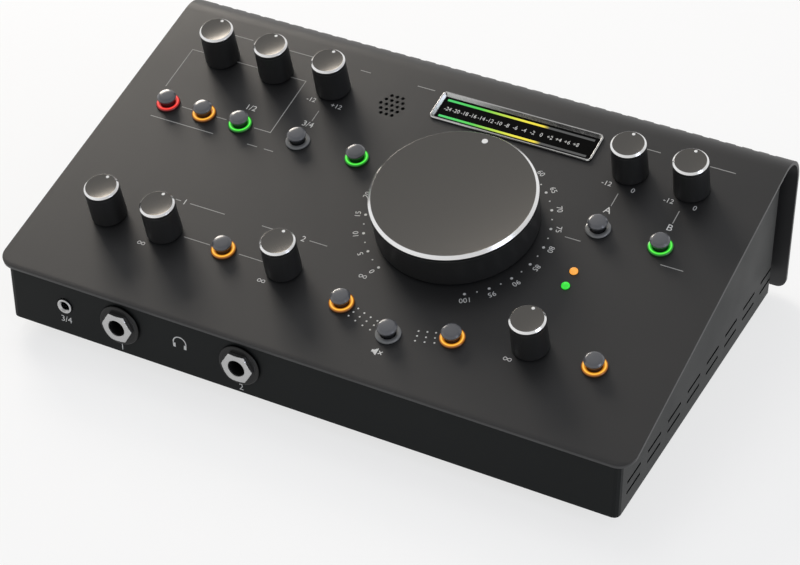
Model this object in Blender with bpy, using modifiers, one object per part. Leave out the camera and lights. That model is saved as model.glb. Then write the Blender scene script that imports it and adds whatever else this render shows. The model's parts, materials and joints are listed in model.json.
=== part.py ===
"""Desktop studio monitor controller, modelled as an assembly of its separate pieces.

All sizes are metres. X runs to the right, Y to the rear and Z up, and the origin lies
on the table under the middle of the outer box. The case is drawn from the front edge of
its panel backwards, and an empty moves it to the middle. A second empty lies in the top
face of the sloped panel: what sits on the panel is placed in its frame, with X across,
Y up the slope and Z out of the panel.
"""
import math

import bmesh
import bpy
from mathutils import Matrix, Vector

# Fits that all pieces share
FIT = 0.0003
CUT = 0.003
HOLE_SEGMENTS = 12
WELD = 0.000001
SHARP_ANGLE = math.radians(35)

# Sheet cover: sloped panel, bend and rear plate in one piece
PANEL_WIDTH = 0.262
PANEL_SLOPE = math.radians(14.54)
FRONT_HEIGHT = 0.0322
COVER_DEPTH = 0.1597
COVER_SHEET = 0.0015
BEND_RADIUS = 0.0139
BEND_STEPS = 7
REAR_PLATE_LIFT = 0.0039
FRONT_CORNER_RADIUS = 0.0067
REAR_CORNER_RADIUS = 0.004
CORNER_STEPS = 3

# Row of vents that cut through the bend
VENT_PITCH = 0.00675
VENT_WIDTH = 0.0034
VENT_START_ANGLE = math.radians(25)
VENT_DROP = 0.0065
VENT_SIDE_MARGIN = 0.006

# Chassis tray under the cover
CHASSIS_FRONT_INSET = 0.0017
CHASSIS_SIDE_INSET = 0.0039
CHASSIS_REAR_GAP = 0.0068
CHASSIS_SHEET = 0.0012
CHASSIS_CORNER_RADIUS = 0.0025
CHASSIS_FLANGE = 0.009
WINDOW_SIDE_MARGIN = 0.010
WINDOW_SILL = 0.0028
WINDOW_HEIGHT = 0.0345

# Slots in the sides of the chassis
SLOT_COUNT = 8
SLOT_START = 0.0086
SLOT_END_MARGIN = 0.0013
SLOT_LENGTH = 0.012
SLOT_HEIGHT = 0.0012
SLOT_HEIGHTS = (0.0184, 0.0135)

# Bottom cover, feet and screws
BASE_CLEARANCE = 0.0055
BOTTOM_SHEET = 0.001
BOTTOM_INSET = 0.0025
FOOT_RADIUS = 0.007
FOOT_TAPER = 0.0008
FOOT_SIDE_INSET = 0.030
FOOT_FRONT_INSET = 0.0245
FOOT_REAR_INSET = 0.020
FOOT_SEGMENTS = 12
SCREW_RADIUS = 0.0014
SCREW_HEAD_RADIUS = 0.0026
SCREW_HEAD = 0.0012
SCREW_LENGTH = 0.0045
SCREW_EDGE = 0.0045
SCREW_SEGMENTS = 8

# Columns of the panel, from its middle, as shares of half its width
OUTER_SHARE = 0.7763
SECOND_SHARE = 0.5863
THIRD_SHARE = 0.3878
FOURTH_SHARE = 0.1885
VOLUME_SHARE = 0.1992
BUTTON_PITCH = 0.0166
SIDE_BUTTON_SPREAD = 0.0227

# Rows of the panel, from its front edge, as shares of its slope up to the bend
METER_ROW_SHARE = 0.904
TOP_ROW_SHARE = 0.8598
BUTTON_ROW_SHARE = 0.655
VOLUME_ROW_SHARE = 0.5503
POWER_LED_ROW_SHARE = 0.5054
USB_LED_ROW_SHARE = 0.455
LOWER_ROW_SHARE = 0.2496
SIDE_BUTTON_ROW_SHARE = 0.2034
MUTE_ROW_SHARE = 0.1578

# Knobs and their spindles
KNOB_HEIGHT = 0.0162
KNOB_TOP_RADIUS = 0.0068
KNOB_BASE_RADIUS = 0.007
KNOB_LIFT = 0.0007
KNOB_SEGMENTS = 16
CAP_THICKNESS = 0.0018
CAP_RIM = 0.0005
CAP_CHAMFER = 0.001
SPINDLE_RADIUS = 0.003
SPINDLE_END_GAP = 0.0005
SPINDLE_SEGMENTS = 10

# Volume knob
VOLUME_HEIGHT = 0.0166
VOLUME_TOP_RADIUS = 0.032
VOLUME_TAPER = 0.0006
VOLUME_WALL = 0.0022
VOLUME_CROWN = 0.004
VOLUME_BOSS_RADIUS = 0.006
VOLUME_BOSS_LIFT = 0.0015
VOLUME_SEGMENTS = 40

# Push buttons and their light rings
BUTTON_HEIGHT = 0.0054
BUTTON_RADIUS = 0.0039
BUTTON_CROWN_RADIUS = 0.0032
BUTTON_CROWN_DROP = 0.0002
BUTTON_EDGE_DROP = 0.0009
BUTTON_UNDERCUT_DROP = 0.0022
BUTTON_STEM_RADIUS = 0.0027
BUTTON_STEM_DEPTH = 0.0045
BUTTON_TRAVEL = 0.0012
BUTTON_SEGMENTS = 10
RING_RADIUS = 0.0049
RING_CREST_RADIUS = 0.0043
RING_HEIGHT = 0.0011
RING_TUBE_RADIUS = 0.0041
RING_DEPTH = 0.003

# Boards and what stands on them
BOARD_DEPTH = 0.011
BOARD_THICKNESS = 0.0016
BOARD_SIDE_MARGIN = 0.009
BOARD_FRONT = 0.016
BOARD_FRONT_BY_JACKS = 0.029
BOARD_STEP = 0.012
BOARD_REAR_MARGIN = 0.006
STUD_RADIUS = 0.0025
STUD_SIDE_INSET = 0.0155
STUD_EDGE = 0.0045
POT_SIZE = 0.010
POT_BODY_HEIGHT = 0.0065
POT_COLLAR_RADIUS = 0.0045
POT_FLOOR = 0.0007
SWITCH_SIZE = 0.0065
LED_RADIUS = 0.0015
LED_HEIGHT = 0.001
LED_SHOULDER_RADIUS = 0.0011
LED_SHOULDER_DROP = 0.0004
LED_SEGMENTS = 8

# Level meter
METER_WIDTH = 0.0688
METER_HEIGHT = 0.0147
METER_FRAME = 0.0015
METER_CORNER_RADIUS = 0.001
METER_BEZEL_LIFT = 0.0011
METER_BEZEL_EDGE = 0.0004
METER_TUBE_WALL = 0.0008
METER_TUBE_DEPTH = 0.003
METER_WINDOW_DROP = 0.0005
METER_WINDOW_THICKNESS = 0.0012

# Talkback microphone and the grille in front of it
MIC_ROWS = 5
MIC_HOLE_RADIUS = 0.00075
MIC_HOLE_SEGMENTS = 6
MIC_PITCH = 0.00243
MIC_RADIUS = 0.0049
MIC_CAPSULE_HEIGHT = 0.005
MIC_POST_RADIUS = 0.0025
MIC_SEGMENTS = 12

# Quarter inch jacks, front and rear
JACK_BORE_RADIUS = 0.0033
JACK_SLEEVE_RADIUS = 0.0045
JACK_SLEEVE_REACH = 0.0004
JACK_WIDTH = 0.015
JACK_BODY_HEIGHT = 0.012
JACK_SLEEVE_ROOT = 0.004
JACK_LIP_RADIUS = 0.0042
JACK_BACK_WALL = 0.0015
JACK_SEGMENTS = 12
FRONT_JACK_DEPTH = 0.025
FRONT_JACK_HEIGHT = 0.0201
WASHER_RADIUS = 0.0085
WASHER_THICKNESS = 0.0011
WASHER_CHAMFER = 0.0004
WASHER_SEGMENTS = 18
NUT_ACROSS_FLATS = 0.0115
NUT_THICKNESS = 0.0018

# Stereo jack of the line input in the front
MINI_SLEEVE_RADIUS = 0.0031
MINI_MOUTH_RADIUS = 0.0023
MINI_BORE_RADIUS = 0.0018
MINI_MOUTH_DEPTH = 0.001
MINI_REACH = 0.0009
MINI_WIDTH = 0.008
MINI_BODY_HEIGHT = 0.007
MINI_DEPTH = 0.012

# Connectors of the rear plate
REAR_LINE_HEIGHT = 0.0262
REAR_BODY_DEPTH = 0.024
REAR_ROW_MARGIN = 0.017
COMBO_WIDTH = 0.026
COMBO_BODY_HEIGHT = 0.028
COMBO_COLLAR_RADIUS = 0.0116
COMBO_COLLAR_REACH = 0.0008
COMBO_GROOVE_RADIUS = 0.0098
COMBO_CORE_RADIUS = 0.008
COMBO_GROOVE_DEPTH = 0.011
COMBO_CORE_DROP = 0.001
COMBO_PIN_CIRCLE = 0.0056
COMBO_PIN_RADIUS = 0.0012
COMBO_PIN_DEPTH = 0.008
COMBO_PIN_ANGLES = (90, 210, 330)
COMBO_PIN_SEGMENTS = 6
COMBO_SCREW_OFFSET = 0.0105
COMBO_SEGMENTS = 16
USB_WIDTH = 0.012
USB_HEIGHT = 0.011
USB_WALL = 0.0016
USB_MOUTH_DEPTH = 0.009
USB_TONGUE_WIDTH = 0.0056
USB_TONGUE_HEIGHT = 0.0032
USB_TONGUE_SETBACK = 0.0008
SOCKET_REACH = 0.0005
DC_WIDTH = 0.009
DC_BODY_HEIGHT = 0.011
DC_COLLAR_RADIUS = 0.004
DC_BORE_RADIUS = 0.003
DC_BORE_DEPTH = 0.0095
DC_PIN_RADIUS = 0.001
DC_PIN_SETBACK = 0.001
POWER_RADIUS = 0.0038
POWER_REACH = 0.004
POWER_EDGE = 0.0006
POWER_STEM = 0.008
POWER_TRAVEL = 0.002
POWER_BODY = 0.012
REAR_BOARD_GAP = 0.005

# Places worked out from the sizes above
SIN_SLOPE = math.sin(PANEL_SLOPE)
COS_SLOPE = math.cos(PANEL_SLOPE)
HALF_WIDTH = PANEL_WIDTH / 2
BEND_CENTRE_Y = COVER_DEPTH - BEND_RADIUS
BEND_CENTRE_ROW = (BEND_CENTRE_Y - BEND_RADIUS * SIN_SLOPE) / COS_SLOPE
BEND_CENTRE_Z = FRONT_HEIGHT + BEND_CENTRE_ROW * SIN_SLOPE - BEND_RADIUS * COS_SLOPE
OUTER_COLUMN = OUTER_SHARE * HALF_WIDTH
SECOND_COLUMN = SECOND_SHARE * HALF_WIDTH
THIRD_COLUMN = THIRD_SHARE * HALF_WIDTH
FOURTH_COLUMN = FOURTH_SHARE * HALF_WIDTH
VOLUME_COLUMN = VOLUME_SHARE * HALF_WIDTH
METER_ROW = METER_ROW_SHARE * BEND_CENTRE_ROW
TOP_ROW = TOP_ROW_SHARE * BEND_CENTRE_ROW
BUTTON_ROW = BUTTON_ROW_SHARE * BEND_CENTRE_ROW
VOLUME_ROW = VOLUME_ROW_SHARE * BEND_CENTRE_ROW
POWER_LED_ROW = POWER_LED_ROW_SHARE * BEND_CENTRE_ROW
USB_LED_ROW = USB_LED_ROW_SHARE * BEND_CENTRE_ROW
LOWER_ROW = LOWER_ROW_SHARE * BEND_CENTRE_ROW
SIDE_BUTTON_ROW = SIDE_BUTTON_ROW_SHARE * BEND_CENTRE_ROW
MUTE_ROW = MUTE_ROW_SHARE * BEND_CENTRE_ROW
BOARD_REAR = BEND_CENTRE_ROW - BOARD_REAR_MARGIN
CHASSIS_HALF_WIDTH = HALF_WIDTH - CHASSIS_SIDE_INSET
CHASSIS_BOTTOM = BASE_CLEARANCE + BOTTOM_SHEET + FIT
REAR_PLATE_INNER = COVER_DEPTH - COVER_SHEET
CHASSIS_REAR = REAR_PLATE_INNER - CHASSIS_REAR_GAP
SLOT_END = CHASSIS_REAR - SLOT_END_MARGIN
SLOT_PITCH = (SLOT_END - SLOT_LENGTH - SLOT_START) / (SLOT_COUNT - 1)
FRONT_END = CHASSIS_FRONT_INSET - FIT - WASHER_THICKNESS - NUT_THICKNESS - JACK_SLEEVE_REACH
REAR_END = COVER_DEPTH + POWER_REACH
CASE_MIDDLE = (FRONT_END + REAR_END) / 2
POT_TOP = -COVER_SHEET - FIT
BOARD_SEAT = -BOARD_DEPTH + FIT
SWITCH_TOP = -BUTTON_STEM_DEPTH - BUTTON_TRAVEL - FIT
SPINDLE_LOW = BOARD_SEAT + POT_FLOOR + SPINDLE_END_GAP
WINDOW_LOW = CHASSIS_BOTTOM + WINDOW_SILL
VOLUME_BASE_RADIUS = VOLUME_TOP_RADIUS - VOLUME_TAPER
REAR_BOARD_WIDTH = 2 * (CHASSIS_HALF_WIDTH - WINDOW_SIDE_MARGIN)
REAR_BOARD_Y = REAR_PLATE_INNER - FIT - REAR_BODY_DEPTH - FIT - BOARD_THICKNESS
REAR_BOARD_CEILING = FRONT_HEIGHT + (REAR_BOARD_Y * SIN_SLOPE - BOARD_DEPTH - BOARD_THICKNESS) / COS_SLOPE
REAR_BOARD_HEIGHT = REAR_BOARD_CEILING - REAR_BOARD_GAP - WINDOW_LOW
WINDOW_WIDTH = METER_WIDTH - 2 * METER_FRAME
WINDOW_DEPTH = METER_HEIGHT - 2 * METER_FRAME

# Finishes: colour as red, green and blue light, roughness, metallic
POWDER_COAT = ((0.045, 0.045, 0.046), 0.5, 0.0)
BLACK_COAT = ((0.022, 0.024, 0.024), 0.55, 0.0)
BLACK_PLASTIC = ((0.012, 0.012, 0.012), 0.45, 0.0)
TURNED_ALUMINIUM = ((0.30, 0.29, 0.28), 0.35, 1.0)
SMOKED_PLASTIC = ((0.10, 0.10, 0.11), 0.15, 0.0)
NICKEL = ((0.60, 0.60, 0.62), 0.2, 1.0)
RUBBER = ((0.015, 0.015, 0.015), 0.9, 0.0)
BOARD_LAMINATE = ((0.02, 0.10, 0.04), 0.5, 0.0)
DARK_WINDOW = ((0.01, 0.01, 0.01), 0.08, 0.0)
RED_LIGHT = ((0.80, 0.02, 0.02), 0.3, 0.0)
AMBER_LIGHT = ((0.90, 0.40, 0.02), 0.3, 0.0)
GREEN_LIGHT = ((0.05, 0.70, 0.05), 0.3, 0.0)
CLEAR_PLASTIC = ((0.35, 0.35, 0.35), 0.3, 0.0)

# Names and places of what repeats
KNOBS = (
    ("gain_1", -OUTER_COLUMN, TOP_ROW),
    ("gain_2", -SECOND_COLUMN, TOP_ROW),
    ("line_trim", -THIRD_COLUMN, TOP_ROW),
    ("monitor_a_trim", SECOND_COLUMN, TOP_ROW),
    ("monitor_b_trim", OUTER_COLUMN, TOP_ROW),
    ("direct_monitor", -OUTER_COLUMN, LOWER_ROW),
    ("phones_1", -SECOND_COLUMN, LOWER_ROW),
    ("phones_2", -FOURTH_COLUMN, LOWER_ROW),
    ("talkback", SECOND_COLUMN, LOWER_ROW),
)
BUTTONS = (
    ("phantom_power", -SECOND_COLUMN - 2 * BUTTON_PITCH, BUTTON_ROW, RED_LIGHT),
    ("stereo_pair", -SECOND_COLUMN - BUTTON_PITCH, BUTTON_ROW, AMBER_LIGHT),
    ("source_1_2", -SECOND_COLUMN, BUTTON_ROW, GREEN_LIGHT),
    ("source_3_4", -THIRD_COLUMN, BUTTON_ROW, CLEAR_PLASTIC),
    ("source_usb", -FOURTH_COLUMN, BUTTON_ROW, GREEN_LIGHT),
    ("monitor_a", SECOND_COLUMN, BUTTON_ROW, CLEAR_PLASTIC),
    ("monitor_b", OUTER_COLUMN, BUTTON_ROW, GREEN_LIGHT),
    ("phones_source", -THIRD_COLUMN, LOWER_ROW, AMBER_LIGHT),
    ("mono", VOLUME_COLUMN - SIDE_BUTTON_SPREAD, SIDE_BUTTON_ROW, AMBER_LIGHT),
    ("mute", VOLUME_COLUMN, MUTE_ROW, CLEAR_PLASTIC),
    ("dim", VOLUME_COLUMN + SIDE_BUTTON_SPREAD, SIDE_BUTTON_ROW, AMBER_LIGHT),
    ("cue", OUTER_COLUMN, LOWER_ROW, AMBER_LIGHT),
)
PHONE_JACKS = (("phone_jack_1", -SECOND_COLUMN), ("phone_jack_2", -FOURTH_COLUMN))
COMBO_NAMES = ("combo_input_1", "combo_input_2")
LINE_JACK_NAMES = (
    "cue_jack_left",
    "cue_jack_right",
    "monitor_b_jack_left",
    "monitor_b_jack_right",
    "monitor_a_jack_left",
    "monitor_a_jack_right",
)

# The rear row from left to right: what stands in it, and how wide its body is
REAR_ROW = (
    *((name, COMBO_WIDTH) for name in COMBO_NAMES),
    *((name, JACK_WIDTH) for name in LINE_JACK_NAMES),
    ("usb_socket", USB_WIDTH),
    ("dc_socket", DC_WIDTH),
    ("power_switch", POWER_BODY),
)
REAR_ROW_WIDTH = 2 * (HALF_WIDTH - REAR_ROW_MARGIN)
REAR_GAP = (REAR_ROW_WIDTH - sum(width for name, width in REAR_ROW)) / (len(REAR_ROW) - 1)

# Turns that point a piece drawn along Z to the front, to the rear or down
TO_THE_FRONT = (math.radians(90), 0, 0)
TO_THE_REAR = (math.radians(-90), 0, 0)
FACING_FRONT = Matrix.Rotation(TO_THE_FRONT[0], 4, "X")
FACING_REAR = Matrix.Rotation(TO_THE_REAR[0], 4, "X")
FACING_DOWN = Matrix.Rotation(math.radians(180), 4, "X")
ACROSS = Matrix(((0, 0, 1, 0), (1, 0, 0, 0), (0, 1, 0, 0), (0, 0, 0, 1)))


def clear_scene():
    for item in list(bpy.data.objects):
        bpy.data.objects.remove(item, do_unlink=True)
    for group in list(bpy.data.collections):
        bpy.data.collections.remove(group)


def make_collection(name):
    group = bpy.data.collections.new(name)
    bpy.context.scene.collection.children.link(group)
    return group


def make_empty(name, location, rotation=(0, 0, 0), parent=None):
    empty = bpy.data.objects.new(name, None)
    empty.location = location
    empty.rotation_euler = rotation
    empty.parent = parent
    bpy.context.scene.collection.objects.link(empty)
    return empty


def evaluated_mesh(holder):
    """The mesh of an object with its modifiers or its curve applied, welded and facing out."""
    bpy.context.scene.collection.objects.link(holder)
    graph = bpy.context.evaluated_depsgraph_get()
    mesh = bpy.data.meshes.new_from_object(holder.evaluated_get(graph))
    bpy.data.objects.remove(holder, do_unlink=True)
    return edited(mesh, weld)


def weld(shape):
    bmesh.ops.remove_doubles(shape, verts=shape.verts, dist=WELD)
    bmesh.ops.recalc_face_normals(shape, faces=shape.faces)


def edited(mesh, change):
    shape = bmesh.new()
    shape.from_mesh(mesh)
    change(shape)
    shape.to_mesh(mesh)
    shape.free()
    return mesh


def turned(profile, segments):
    """A solid of revolution about Z. The profile runs down its outer side, top to bottom."""
    mesh = bpy.data.meshes.new("profile")
    points = [(radius, 0, height) for radius, height in profile]
    closed = profile[0][0] > 0
    edges = [(i, i + 1) for i in range(len(points) - 1)]
    if closed:
        edges.append((len(points) - 1, 0))
    mesh.from_pydata(points, edges, [])
    holder = bpy.data.objects.new("profile", mesh)
    screw = holder.modifiers.new("turn", "SCREW")
    screw.axis = "Z"
    screw.steps = segments
    screw.render_steps = segments
    screw.use_merge_vertices = True
    screw.merge_threshold = WELD
    return evaluated_mesh(holder)


def outlined(loops, thickness):
    """A flat outline in X and Y, with its holes, given a thickness along Z from 0 up."""
    curve = bpy.data.curves.new("outline", "CURVE")
    curve.dimensions = "2D"
    curve.fill_mode = "BOTH"
    curve.extrude = thickness / 2
    for loop in loops:
        spline = curve.splines.new("POLY")
        spline.points.add(len(loop) - 1)
        for point, place in zip(spline.points, loop):
            point.co = (place[0], place[1], 0, 1)
        spline.use_cyclic_u = True
    mesh = evaluated_mesh(bpy.data.objects.new("outline", curve))
    mesh.transform(Matrix.Translation((0, 0, thickness / 2)))
    return mesh


def rounded_rectangle(width, depth, radius, steps=CORNER_STEPS):
    """The points of a rectangle about the middle, with round corners."""
    points = []
    for quarter in range(4):
        side_x = 1 if quarter in (0, 3) else -1
        side_y = 1 if quarter in (0, 1) else -1
        middle = Vector((side_x * (width / 2 - radius), side_y * (depth / 2 - radius)))
        for step in range(steps + 1):
            angle = (quarter + step / steps) * math.pi / 2
            points.append(middle + radius * Vector((math.cos(angle), math.sin(angle))))
    return points


def box(size, low_corner):
    """A box from its low corner."""
    shape = bmesh.new()
    bmesh.ops.create_cube(shape, size=1)
    middle = [low + length / 2 for low, length in zip(low_corner, size)]
    shape.transform(Matrix.Translation(middle) @ Matrix.Diagonal((*size, 1)))
    mesh = bpy.data.meshes.new("box")
    shape.to_mesh(mesh)
    shape.free()
    return mesh


def centred_box(width, depth, low, high):
    return box((width, depth, high - low), (-width / 2, -depth / 2, low))


def cylinder(radius, low, high, segments):
    shape = bmesh.new()
    bmesh.ops.create_cone(
        shape, cap_ends=True, segments=segments, radius1=radius, radius2=radius, depth=high - low)
    shape.transform(Matrix.Translation((0, 0, (low + high) / 2)))
    mesh = bpy.data.meshes.new("cylinder")
    shape.to_mesh(mesh)
    shape.free()
    return mesh


def hole_radius(pin_radius, segments):
    """The radius of a faceted hole whose flats stay one fit clear of a round pin."""
    return (pin_radius + FIT) / math.cos(math.pi / segments)


def gathered(pairs):
    """One mesh that holds a copy of each mesh at its place."""
    shape = bmesh.new()
    for mesh, place in pairs:
        copy = mesh.copy()
        copy.transform(place)
        shape.from_mesh(copy)
        bpy.data.meshes.remove(copy)
    mesh = bpy.data.meshes.new("group")
    shape.to_mesh(mesh)
    shape.free()
    return mesh


def repeated(mesh, places):
    return gathered([(mesh, place) for place in places])


def at(x, y, z=0):
    return Matrix.Translation((x, y, z))


def add_material(item, finish):
    colour, roughness, metallic = finish
    material = bpy.data.materials.new(item.name + "_finish")
    material.use_nodes = True
    shader = material.node_tree.nodes["Principled BSDF"]
    shader.inputs["Base Color"].default_value = (*colour, 1)
    shader.inputs["Roughness"].default_value = roughness
    shader.inputs["Metallic"].default_value = metallic
    item.data.materials.append(material)


def add_piece(name, mesh, finish, parent, location=(0, 0, 0), turn=(0, 0, 0)):
    """Puts a named piece of the object into its collection."""
    mesh.name = name
    item = bpy.data.objects.new(name, mesh)
    item.parent = parent
    item.location = location
    item.rotation_euler = turn
    mesh.shade_smooth()
    mesh.set_sharp_from_angle(angle=SHARP_ANGLE)
    add_material(item, finish)
    PARTS.objects.link(item)
    return item


def change_shape(item, name, mesh, operation, parent):
    """Cuts a mesh from a piece or joins it on. It is placed in the piece's frame, or in another."""
    mesh.name = item.name + "_" + name
    tool = bpy.data.objects.new(mesh.name, mesh)
    tool.parent = parent or item
    tool.hide_render = True
    tool.display_type = "WIRE"
    CUTTERS.objects.link(tool)
    modifier = item.modifiers.new(name, "BOOLEAN")
    modifier.operation = operation
    modifier.solver = "EXACT"
    modifier.object = tool


def cut(item, name, mesh, parent=None):
    change_shape(item, name, mesh, "DIFFERENCE", parent)


def join(item, name, mesh, parent=None):
    change_shape(item, name, mesh, "UNION", parent)


def cover_path(inset):
    """Side view of the cover's sheet, as Y and Z, at a depth below its outer face."""
    path = [Vector((inset * SIN_SLOPE, FRONT_HEIGHT - inset * COS_SLOPE))]
    radius = BEND_RADIUS - inset
    for step in range(BEND_STEPS + 1):
        angle = -PANEL_SLOPE + (math.pi / 2 + PANEL_SLOPE) * step / BEND_STEPS
        path.append(Vector((BEND_CENTRE_Y + radius * math.sin(angle),
                            BEND_CENTRE_Z + radius * math.cos(angle))))
    path.append(Vector((COVER_DEPTH - inset, REAR_PLATE_LIFT)))
    return path


def bevelled_cover(shape):
    """Rounds the two front corners and the two lower rear corners of the bent sheet."""
    bmesh.ops.dissolve_limit(shape, angle_limit=math.radians(1), verts=shape.verts, edges=shape.edges)
    front = []
    rear = []
    for edge in shape.edges:
        first, second = (vert.co for vert in edge.verts)
        if abs(first.x - second.x) > FIT:
            continue
        if max(first.y, second.y) < COVER_SHEET:
            front.append(edge)
        elif max(first.z, second.z) < REAR_PLATE_LIFT + FIT:
            rear.append(edge)
    for edges, radius in ((front, FRONT_CORNER_RADIUS), (rear, REAR_CORNER_RADIUS)):
        bmesh.ops.bevel(shape, geom=edges, offset=radius, segments=CORNER_STEPS,
                        profile=0.5, affect="EDGES")


def stud_places():
    """Four studs near the corners of the main board, as X and Y on the panel."""
    side = HALF_WIDTH - STUD_SIDE_INSET
    front_left = BOARD_FRONT_BY_JACKS + STUD_EDGE
    front_right = BOARD_FRONT + STUD_EDGE
    rear = BOARD_REAR - STUD_EDGE
    return ((-side, front_left), (side, front_right), (-side, rear), (side, rear))


def mic_hole_places():
    """Rows of 3, 4, 5, 4 and 3 holes, each row set off by half a pitch."""
    places = []
    middle = MIC_ROWS // 2
    for row in range(-middle, middle + 1):
        count = MIC_ROWS - abs(row)
        for i in range(count):
            x = -FOURTH_COLUMN + (i - (count - 1) / 2) * MIC_PITCH
            places.append((x, TOP_ROW + row * MIC_PITCH))
    return places


def panel_hole_cutter():
    """All holes of the sloped panel, drawn square to it."""
    low = -COVER_SHEET - CUT
    spindle_hole = cylinder(hole_radius(SPINDLE_RADIUS, HOLE_SEGMENTS), low, CUT, HOLE_SEGMENTS)
    ring_hole = cylinder(hole_radius(RING_TUBE_RADIUS, HOLE_SEGMENTS), low, CUT, HOLE_SEGMENTS)
    led_hole = cylinder(hole_radius(LED_RADIUS, LED_SEGMENTS), low, CUT, LED_SEGMENTS)
    mic_hole = cylinder(MIC_HOLE_RADIUS, low, CUT, MIC_HOLE_SEGMENTS)
    tube_width = WINDOW_WIDTH + 2 * (METER_TUBE_WALL + FIT)
    tube_depth = WINDOW_DEPTH + 2 * (METER_TUBE_WALL + FIT)
    meter_hole = centred_box(tube_width, tube_depth, low, CUT)
    pairs = [(spindle_hole, at(x, y)) for name, x, y in KNOBS]
    pairs.append((spindle_hole, at(VOLUME_COLUMN, VOLUME_ROW)))
    pairs += [(ring_hole, at(x, y)) for name, x, y, finish in BUTTONS]
    pairs += [(led_hole, at(SECOND_COLUMN, y)) for y in (POWER_LED_ROW, USB_LED_ROW)]
    pairs += [(mic_hole, at(x, y)) for x, y in mic_hole_places()]
    pairs.append((meter_hole, at(VOLUME_COLUMN, METER_ROW)))
    return gathered(pairs)


def vent_cutter():
    """Upright slots side by side, from the top of the bend down into the rear plate."""
    low = BEND_CENTRE_Z - VENT_DROP
    start = BEND_CENTRE_Y + BEND_RADIUS * math.sin(VENT_START_ANGLE)
    length = COVER_DEPTH + CUT - start
    height = BEND_CENTRE_Z + BEND_RADIUS + CUT - low
    count = int((PANEL_WIDTH - 2 * VENT_SIDE_MARGIN - VENT_WIDTH) / VENT_PITCH) + 1
    slot = box((VENT_WIDTH, length, height), (-VENT_WIDTH / 2, start, low))
    return repeated(slot, [at((i - (count - 1) / 2) * VENT_PITCH, 0) for i in range(count)])


def combo_screw_places():
    """Two screws at opposite corners of a combined input, in its own frame."""
    return [at(side * COMBO_SCREW_OFFSET, side * COMBO_SCREW_OFFSET) for side in (-1, 1)]


def rear_hole_cutter():
    """The openings of the rear plate, each one fit larger than what passes through it."""
    low = -COVER_SHEET - CUT
    combo = cylinder(hole_radius(COMBO_COLLAR_RADIUS, COMBO_SEGMENTS), low, CUT, COMBO_SEGMENTS)
    jack = cylinder(hole_radius(JACK_SLEEVE_RADIUS, HOLE_SEGMENTS), low, CUT, HOLE_SEGMENTS)
    socket = cylinder(hole_radius(DC_COLLAR_RADIUS, HOLE_SEGMENTS), low, CUT, HOLE_SEGMENTS)
    power = cylinder(hole_radius(POWER_RADIUS, HOLE_SEGMENTS), low, CUT, HOLE_SEGMENTS)
    screw = cylinder(hole_radius(SCREW_RADIUS, SCREW_SEGMENTS), low, CUT, SCREW_SEGMENTS)
    usb = centred_box(USB_WIDTH + 2 * FIT, USB_HEIGHT + 2 * FIT, low, CUT)
    holes = [(combo, name) for name in COMBO_NAMES]
    holes += [(jack, name) for name in LINE_JACK_NAMES]
    holes += [(usb, "usb_socket"), (socket, "dc_socket"), (power, "power_switch")]
    pairs = [(mesh, rear_place(REAR_COLUMNS[name], COVER_DEPTH)) for mesh, name in holes]
    for name in COMBO_NAMES:
        place = rear_place(REAR_COLUMNS[name], COVER_DEPTH)
        pairs += [(screw, place @ corner) for corner in combo_screw_places()]
    return gathered(pairs)


def rear_columns():
    """The column of each rear connector: they share out their row with even gaps."""
    columns = {}
    edge = -REAR_ROW_WIDTH / 2
    for name, width in REAR_ROW:
        columns[name] = edge + width / 2
        edge += width + REAR_GAP
    return columns


def rear_place(column, y):
    """The place of a rear connector that is drawn along Z, its Z now pointing to the rear."""
    return at(column, y, REAR_LINE_HEIGHT) @ FACING_REAR


def front_place(column):
    """The place of a hole for a front jack that is drawn along Z, its Z now pointing to the front."""
    return at(column, CHASSIS_FRONT_INSET, FRONT_JACK_HEIGHT) @ FACING_FRONT


def make_cover():
    """Panel, bend and rear plate are one sheet, bent once, with four studs under it."""
    outline = cover_path(0) + cover_path(COVER_SHEET)[::-1]
    mesh = outlined([outline], PANEL_WIDTH)
    mesh.transform(ACROSS @ at(0, 0, -HALF_WIDTH))
    cover = add_piece("top_cover", edited(mesh, bevelled_cover), POWDER_COAT, CASE)
    stud = cylinder(STUD_RADIUS, BOARD_SEAT, -COVER_SHEET / 2, SCREW_SEGMENTS)
    join(cover, "studs", repeated(stud, [at(x, y) for x, y in stud_places()]), PANEL)
    cut(cover, "panel_holes", panel_hole_cutter(), PANEL)
    cut(cover, "rear_holes", rear_hole_cutter(), CASE)
    cut(cover, "vents", vent_cutter(), CASE)


def bottom_screw_places():
    """Six screws along the long edges of the bottom cover, as X and Y."""
    side = CHASSIS_HALF_WIDTH - BOTTOM_INSET - SCREW_EDGE
    front = CHASSIS_FRONT_INSET + BOTTOM_INSET + SCREW_EDGE
    rear = CHASSIS_REAR - BOTTOM_INSET - SCREW_EDGE
    return [(x, y) for y in (front, rear) for x in (-side, 0, side)]


def chassis_plan(inset, low, high):
    """The rectangle of the tray seen from above, drawn in by an inset, as an upright block."""
    radius = max(CHASSIS_CORNER_RADIUS - inset, CHASSIS_SHEET)
    width = 2 * (CHASSIS_HALF_WIDTH - inset)
    depth = CHASSIS_REAR - CHASSIS_FRONT_INSET - 2 * inset
    mesh = outlined([rounded_rectangle(width, depth, radius)], high - low)
    mesh.transform(at(0, (CHASSIS_REAR + CHASSIS_FRONT_INSET) / 2, low))
    return mesh


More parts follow.
